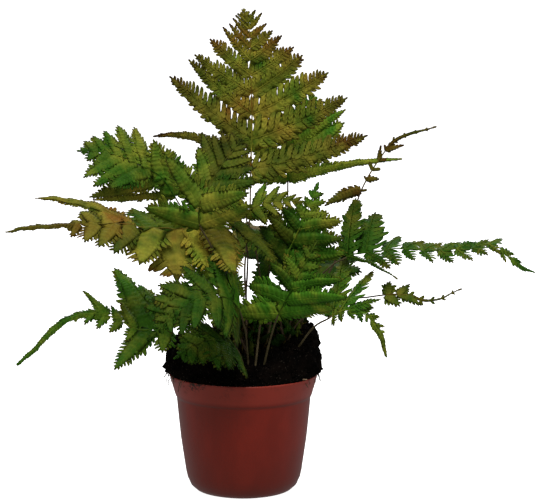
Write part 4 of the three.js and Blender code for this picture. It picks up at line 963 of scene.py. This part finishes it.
def tail_blades(frond, draw):
    """The leaflets that stand on the rib itself, where the branches end in a thin tail, and the
    one at its very end."""
    line, bare, most = frond["line"], frond["bare"], max(frond["reach"])
    share = np.linspace(0, 1, 200)
    reach = most * np.clip(1 - (share / (1 - frond["tail"])) ** frond["bulge"], 0, 1)
    start = share[np.argmax(reach < 2 * frond["strip"])]
    count = int(line.long * (1 - bare) * (1 - start) / TAIL_PITCH)
    share = start + (1 - start) * np.linspace(0, 1, count, endpoint=False)
    place, run, upper, left = line.frames(bare + (1 - bare) * share, frond["face"])
    blades = []
    for hand in (1, -1):
        narrow = np.sqrt(1 - (share - start) / (1 - start))
        reach = frond["strip"] * (TAIL_LEAST + (1 - TAIL_LEAST) * narrow)
        reach = reach * (1 + TAIL_REACH_SPREAD * draw.normal(size=count))
        out = reach[:, None] * unit(hand * left + TAIL_LEAN * run)
        blades.append((place, out, -hand * run, upper, np.full(count, 0.6 * TAIL_PITCH),
                       frond["hues"][1] + HUE_SPREAD * draw.normal(size=count),
                       frond["brightness_and_painted_light"][1] * (1 + SHADE_SPREAD * draw.normal(size=count)),
                       np.zeros(count)))
    end, run, upper, left = line.frames(np.array([0.985]), frond["face"])
    blades.append(single(end, run * TAIL_END, left, upper, TIP_HALF, frond["hues"][1],
                         frond["brightness_and_painted_light"][1]))
    return blades


def add_rib(growth, frond):
    """The bare stalk, which is wood, and the rib from there to the frond's tip."""
    line, bare, hues = frond["line"], frond["bare"], frond["hues"]
    for start, end, tones in ((0, bare, [hues[0], frond["stalk"], 1]),
                              (bare - 0.01, 1, [hues[1], min(frond["brightness_and_painted_light"]), 0])):
        share = np.linspace(start, end, max(8, int(line.long * (end - start) / RIB_STEP)))
        place, run, upper, left = line.frames(share, frond["face"])
        stalk = STALK_RADIUS + (RIB_RADIUS - STALK_RADIUS) * share / bare
        rib = RIB_RADIUS + (RIB_TIP_RADIUS - RIB_RADIUS) * (share - bare) / (1 - bare)
        tube(growth, place, run, upper, left, RIB_SLIM * np.where(share < bare, stalk, rib), tones)


def add_branch(growth, frond, plan, bend, rooms, passed, tint_and_light):
    """The thin stalk of one branch and the web along it."""
    tone, shade = tint_and_light
    v = np.linspace(0, 0.98, BRANCH_RINGS)
    centre, along, up, left = branch_frames(frond, plan, *bend, v)
    radius = BRANCH_RADIUS + (BRANCH_TIP_RADIUS - BRANCH_RADIUS) * v
    tube(growth, centre + BRANCH_RAISED * up, along, up, left, BRANCH_SLIM * radius,
         [tone + 0.1, 0.95 * shade, 0])
    v = np.linspace(0, LAST_LEAFLET, WEB_RINGS)
    centre, along, up, left = branch_frames(frond, plan, *bend, v)
    reach = plan["wide"] * frond["full"] * narrowed(plan, v)
    joined = np.array([AHEAD, BEHIND]) * frond["web"]
    web(growth, centre, along, up, left, reach[:, None] * joined[::-plan["side"]], frond["over"],
        np.interp(v, rooms, passed), np.array([[tone, 0.97 * shade, 0]]))


def branch_blades(frond, plan, bend, rooms, passed, tint_and_light, draw):
    """The leaflets of one branch, in two rows, and the one at its tip. Those near the rib are
    greener, and those near the tip are darker and more bronze."""
    (tone, shade), length = tint_and_light, plan["length"] * bend[1]
    count = round(passed[-1])
    feet = np.interp(np.arange(count) + 0.5, passed, rooms)
    half = np.diff(np.interp(np.arange(count + 1), passed, rooms)) * length / 2
    centre, along, up, left = branch_frames(frond, plan, *bend, feet)
    blades = []
    for hand in (1, -1):
        behind = int(hand == plan["side"])
        reach = plan["wide"] * (AHEAD, BEHIND)[behind] * narrowed(plan, feet)
        reach = reach * frond["full"] * (1 + REACH_SPREAD * draw.normal(size=count))
        lean = LEAN + LEAN_SPREAD * draw.normal(size=count)
        out = reach[:, None] * (hand * left + lean[:, None] * along)
        roll = ROLL + ROLL_SPREAD * draw.normal(size=count)
        width = -hand * unit(along + roll[:, None] * up)
        normal = unit(up - roll[:, None] * along)
        own_tone = tone + TINT_SPREAD * draw.normal(size=count)
        own_tone = own_tone - 0.2 * (1 - feet) ** 4 + TIP_BRONZE * feet**6
        own_shade = shade * (1 + TINT_SPREAD * draw.normal(size=count))
        own_shade = own_shade * (1 - frond["dark"] * feet**5)
        slit = frond["slit"][behind] * (1 - 0.6 * feet) * (1 - plan["share"])
        slit = slit + 0.03 * draw.normal(size=count)
        blades.append((centre, out, width, normal, half * OVERLAP, own_tone, own_shade, slit))
    centre, along, up, left = branch_frames(frond, plan, *bend, [0.95])
    blades.append(single(centre, along * (0.05 * length + 2), left, up, TIP_HALF,
                         tone + TIP_BRONZE, shade * (1 - frond["dark"])))
    return blades


def grow_frond(frond, corners, draw):
    """One frond: rib, branches and leaflets, all by the rule of its solid. A branch too short
    for leaflets of its own is a single one."""
    growth, blades = Growth(), []
    add_rib(growth, frond)
    for pair in range(frond["pairs"]):
        for side in (LEFT, RIGHT):
            plan = branch_plan(frond, pair, side)
            bend = grown_bend(frond, plan, corners)
            if bend is None:
                continue
            length = plan["length"] * bend[1]
            tint_and_light = branch_tint_and_light(frond, plan)
            if plan["length"] < SPIKE_LENGTH:
                centre, along, up, left = branch_frames(frond, plan, *bend, [0])
                blades.append(single(centre, along * length, left, up, 0.24 * length, *tint_and_light))
                continue
            rooms, passed = leaflet_rooms(plan, length)
            add_branch(growth, frond, plan, bend, rooms, passed, tint_and_light)
            blades += branch_blades(frond, plan, bend, rooms, passed, tint_and_light, draw)
    blades += tail_blades(frond, draw)

    foot, out, width, up, half, tone, shade, slit = (np.concatenate(a) for a in zip(*blades))
    arch = ARCH + ARCH_SPREAD * draw.normal(size=len(foot))
    tones = np.stack([tone, shade, 0 * tone], -1)
    long = np.linalg.norm(out, axis=1) > LONG_LEAFLET
    for pick, levels, around in ((long, LONG_LEVELS, 6), (~long, SHORT_LEVELS, 4)):
        if pick.any():
            leaflets(growth, foot[pick], out[pick], width[pick], up[pick], half[pick],
                     arch[pick], TEETH, slit[pick], tones[pick], levels, around)
    return growth


STILL_HEIGHT, STILL_RADIUS, STILL_FADE = 125, 75, 25
FINE_RIPPLE, BROAD_RIPPLE = 0.45, 0.65


def rippled(points, face):
    """Leaves aren't flat: they wave by the sum of two sines of the place, along the frond's face,
    but not near the soil, where the stalks stand."""
    x, y, z = points.T
    away = np.maximum((z - STILL_HEIGHT) / STILL_FADE, (np.hypot(x, y) - STILL_RADIUS) / STILL_FADE)
    wave = FINE_RIPPLE * np.sin(x / 2.3 + 1.7 * np.sin(z / 6.1) + y / 4.7)
    wave = wave + BROAD_RIPPLE * np.sin(z / 3.4 - x / 5.9 + 1.3 * np.sin(y / 7.3))
    return points + (smooth(away) * wave)[:, None] * unit(face)


LEAF_GREEN, LEAF_BRONZE, LEAF_BROWN = colour("3c6a17"), colour("928b2e"), colour("80481a")
RIM_BROWN, GREEN_WOOD, BROWN_WOOD = colour("6b3d12"), colour("736a48"), colour("806a54")


def leaf_finish(name):
    """Leaf: green to bronze and dark to bright by the leaflet's own numbers and by soft clouds,
    with a paler midrib, faint side veins and browner edges where it is bronze. The brightness in
    the leaflet's numbers is partly painted light and shade."""
    material, shader, start = new_finish(name)
    grown = start.node("ShaderNodeAttribute", {"attribute_name": "grown"}, {}, 1)
    place = start.node("ShaderNodeAttribute", {"attribute_name": "leaflet"}, {}, 1)
    tone, shade, stalk = grown.parts()
    across, along, face = place.parts()
    where = start.node("ShaderNodeTexCoord", {}, {}, 3)
    wide = start.noise(where, 30, 2)
    cloud = start.noise(where, 95, 3)
    fine = start.noise(where, 420, 2)
    hue = tone + (wide - 0.5) * (0.8 + 3.2 * tone) + 1.1 * (cloud - 0.5)
    base = hue.blend(LEAF_GREEN, LEAF_BRONZE)
    base = (0.75 * hue.ramp(0.9, 1.9)).blend(base, LEAF_BROWN)
    off = abs(across)
    veins = start.math("SINE", along * VEINS - off * VEIN_SLANT) * 0.5 + 0.5
    middle = 1 - off.ramp(0.03, 0.16)
    rim = (off.ramp(0.72, 1.0) * 0.45 + along.ramp(0.75, 1.0) * 0.45) * tone.ramp(0.3, 1)
    base = rim.blend(base, RIM_BROWN)
    base = stalk.blend(base, tone.blend(GREEN_WOOD, BROWN_WOOD))
    # shade, the leaflet's brightness, is partly painted light and shade
    bright = shade * (0.22 + 0.4 * fine + 1.1 * cloud + 0.08 * middle + 0.14 * veins)
    bright = bright * (1 + 0.2 * start.math("LESS_THAN", face, -0.3))
    base = start.node("ShaderNodeHueSaturation", {}, {"Value": bright, "Color": base})
    wire(shader, "Base Color", base)
    wire(shader, "Roughness", 0.5 + 0.15 * cloud)
    shader.inputs["Specular IOR Level"].default_value = 0.06
    relief = 0.16 * veins + 0.1 * fine + 0.74 * cloud - 0.1 * middle
    wire(shader, "Normal", bumped(start, relief, 0.0022))
    return material


LEAVES = {slot: leaf_finish(slot)
          for slot in ("olive_leaf", "bronze_leaf", "green_leaf", "dark_leaf")}

for index, entry in enumerate(FRONDS):
    frond = {**USUAL, **entry}
    frond.update(index=index, line=RibLine(entry["path"]), face=np.array(entry["face"], float))
    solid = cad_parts[frond["name"]].data.vertices
    corners = np.empty(len(solid) * 3, np.float32)
    solid.foreach_get("co", corners)
    draw = np.random.default_rng(100 + index)
    growth = grow_frond(frond, corners.reshape(-1, 3) / MM, draw)
    growth.points = [rippled(np.concatenate(growth.points), frond["face"])]
    piece = growth.piece(frond["name"] + "_grown", LEAVES[frond["slot"]])
    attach(piece, "root")
    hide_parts(frond["name"])

# ---- the crown ----
# Where the fronds rise there are stubs of old stalks, their brown scales and short young leaves.
# They stand on the soil between the stalks. Root hairs and a twig lie on its edge.

CROWN_MIDDLE = (12, -4)
STUBS = 46
STUB_FIELD = (34, 20)  # half the width and half the depth of the ellipse where they stand
STUB_LEANS = (0.05, 0.6)
STUB_HEIGHTS = (8, 20)
STUB_SUNK = 3
STUB_RADII = (0.9, 1.5)
STUB_TAPER = np.array([1, 0.95, 0.85, 0.8])
STUB_SHADES = (0.1, 0.3)
TUFT_FIELD = (36, 24)
TUFT_LEANS = (0.1, 1.3)
TUFT_RISE = 14  # some grow out of the stalks, up to this high
TUFTS = [
    # count, longest, width against length, bronze, brightness
    (700, 9, 0.1, 1.4, 0.16),  # scales
    (150, 17, 0.3, 0.1, 0.3),  # young leaves
]
ROOT_HAIRS = 48
HAIR_EDGE = (57, 61.5)  # how far out they start
HAIR_HEIGHTS = (96, 103)
HAIR_STEPS = 7
HAIR_STEP_OUT, HAIR_STEPS_DOWN = 0.35, (0.3, 2)
HAIR_WANDER = 0.45
HAIR_RADII = (0.2, 0.4)
HAIR_SHADES = (0.1, 0.45)
TWIG = [(34, -40, 99), (39, -39, 99.5), (44, -38, 97.5), (50, -36, 97)]
TWIG_RADII = np.array([0.6, 0.8, 0.7, 0.4])

draw = np.random.default_rng(5)
crown = Growth()


def crown_feet(count, field):
    """Places on the soil, in an ellipse round the middle of the crown."""
    turn, reach = draw.uniform(0, 2 * np.pi, count), np.sqrt(draw.random(count))
    x = CROWN_MIDDLE[0] + field[0] * reach * np.cos(turn)
    y = CROWN_MIDDLE[1] + field[1] * reach * np.sin(turn)
    return np.stack([x, y, soil_height(x, y)], -1)


def leaning(count, leans):
    """Ways that lean outwards from upright by an angle between two, in radians."""
    lean, turn = draw.uniform(*leans, count), draw.uniform(0, 2 * np.pi, count)
    return np.stack([np.sin(lean) * np.cos(turn), np.sin(lean) * np.sin(turn), np.cos(lean)], -1)


def thread(line, sideways, radius, shade):
    """A woody tube along a line of places."""
    ways = unit(np.gradient(line, axis=0))
    left = unit(np.cross(ways, sideways))
    tube(crown, line, ways, np.cross(ways, left), left, radius, [1, shade, 1])


for foot, way in zip(crown_feet(STUBS, STUB_FIELD), leaning(STUBS, STUB_LEANS)):
    tall = draw.uniform(*STUB_HEIGHTS)
    line = foot + way * np.linspace(-STUB_SUNK, tall, len(STUB_TAPER))[:, None]
    radius = draw.uniform(*STUB_RADII) * STUB_TAPER
    ways, upper, left = (np.tile(v, (len(line), 1)) for v in (way, (0, 1, 0), (1, 0, 0)))
    tube(crown, line, ways, upper, left, radius, [1, draw.uniform(*STUB_SHADES), 1])

for count, longest, narrow, hue, dull in TUFTS:
    foot = crown_feet(count, TUFT_FIELD)
    foot = foot + draw.uniform(0, 1, (count, 1)) ** 2 * [0, 0, TUFT_RISE]
    out = leaning(count, TUFT_LEANS) * draw.uniform(0.5, 1, (count, 1)) * longest
    width = unit(np.cross(out, draw.normal(size=(count, 3))))
    upper = unit(np.cross(out, width))
    long = np.linalg.norm(out, axis=1)
    tones = np.stack([hue + 0.2 * draw.normal(size=count),
                      dull * draw.uniform(0.3, 1.5, count), np.zeros(count)], -1)
    leaflets(crown, foot, out, width, upper, narrow * long, np.full(count, 0.2), SCALE_TEETH,
             np.zeros(count), tones, SHORT_LEVELS, 4)

for _ in range(ROOT_HAIRS):
    side = draw.choice([0, np.pi]) + draw.normal() * 0.4
    radius, high = draw.uniform(*HAIR_EDGE), draw.uniform(*HAIR_HEIGHTS)
    outward = np.array([math.cos(side), math.sin(side), 0])
    fall = HAIR_STEP_OUT * outward - [0, 0, draw.uniform(*HAIR_STEPS_DOWN)]
    wander = draw.normal(size=(HAIR_STEPS, 3)) * HAIR_WANDER
    steps = np.cumsum(wander + fall * draw.uniform(0.4, 1), axis=0)
    thread(radius * outward + [0, 0, high] + steps, (0.3, 0.9, 0.1),
           np.full(HAIR_STEPS, draw.uniform(*HAIR_RADII)), draw.uniform(*HAIR_SHADES))

thread(np.array(TWIG, float), (0, 0, 1), TWIG_RADII, 1.5)

piece = crown.piece("soil_crown", LEAVES["dark_leaf"])
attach(piece, "root")

# ---- the light, the floor and the camera ----
# A white floor and a white backdrop that only the camera sees, so that they neither shade nor
# tint the plant, soft light from all round, and three broad lamps. Lengths are in metres.

WHITE = (1, 1, 1, 1)
FLOOR_REACH = 8
BACKDROP_RADIUS = 7
BACKDROP_SIDES, BACKDROP_RINGS = 64, 24
SKY_STRENGTH = 0.32
LAMP_AIM = (0, 0, 0.2)
LAMPS = [
    # name, place, size, watts
    ("key", (-0.2, -1.6, 2.4), 1.5, 52),
    ("fill", (1.8, -0.8, 1.2), 1.6, 8),
    ("rim", (0.2, 1.8, 1.6), 1.8, 22),
]
CAMERA_PLACE = (0, -1.5, 0.407)
CAMERA_AIM = (0.0213, 0, 0.195)
CAMERA_LENS, CAMERA_SENSOR = 125.9, 36  # in millimetres
CAMERA_SIGHT = 30


def white(name):
    material, shader, _ = new_finish(name)
    shader.inputs["Base Color"].default_value = (0.9, 0.9, 0.9, 1)
    shader.inputs["Emission Color"].default_value = WHITE
    shader.inputs["Emission Strength"].default_value = 1
    return material


corners = np.array([[-1, -1, 0], [1, -1, 0], [1, 1, 0], [-1, 1, 0]], float) * FLOOR_REACH
floor = new_piece("floor", corners, [[0, 1, 2, 3]], np.zeros((0, 3)), white("pale_floor"))
turn = np.linspace(0, 2 * np.pi, BACKDROP_SIDES, endpoint=False)
tilt = np.linspace(-1.5, 1.5, BACKDROP_RINGS)[:, None]
dome = np.stack([np.cos(tilt) * np.cos(turn), np.cos(tilt) * np.sin(turn),
                 np.sin(tilt) + 0 * turn], -1)
dome = np.concatenate([dome.reshape(-1, 3), [[0, 0, -1], [0, 0, 1]]]) * BACKDROP_RADIUS
quads, fans = stacked_faces(BACKDROP_RINGS, BACKDROP_SIDES)
backdrop = new_piece("backdrop", dome, quads, fans, white("pale_backdrop"))
for surface in (floor, backdrop):
    surface.visible_diffuse = surface.visible_glossy = False
    surface.visible_transmission = surface.visible_shadow = False

world = bpy.data.worlds.new("studio")
world.use_nodes = True
world.node_tree.nodes["Background"].inputs["Color"].default_value = WHITE
world.node_tree.nodes["Background"].inputs["Strength"].default_value = SKY_STRENGTH
bpy.context.scene.world = world


def placed(name, held, place, aim):
    """A lamp or a camera at its place, turned to look at another."""
    holder = bpy.data.objects.new(name, held)
    holder.location = place
    way = Vector(aim) - Vector(place)
    holder.rotation_euler = way.to_track_quat("-Z", "Y").to_euler()
    bpy.context.scene.collection.objects.link(holder)
    return holder


for name, place, size, watts in LAMPS:
    lamp = bpy.data.lights.new(name, "AREA")
    lamp.size, lamp.energy = size, watts
    placed(name, lamp, place, LAMP_AIM)

camera = bpy.data.cameras.new("camera")
camera.lens, camera.sensor_width = CAMERA_LENS, CAMERA_SENSOR
camera.clip_end = CAMERA_SIGHT
bpy.context.scene.camera = placed("camera", camera, CAMERA_PLACE, CAMERA_AIM)
bpy.context.scene.view_settings.view_transform = "Standard"
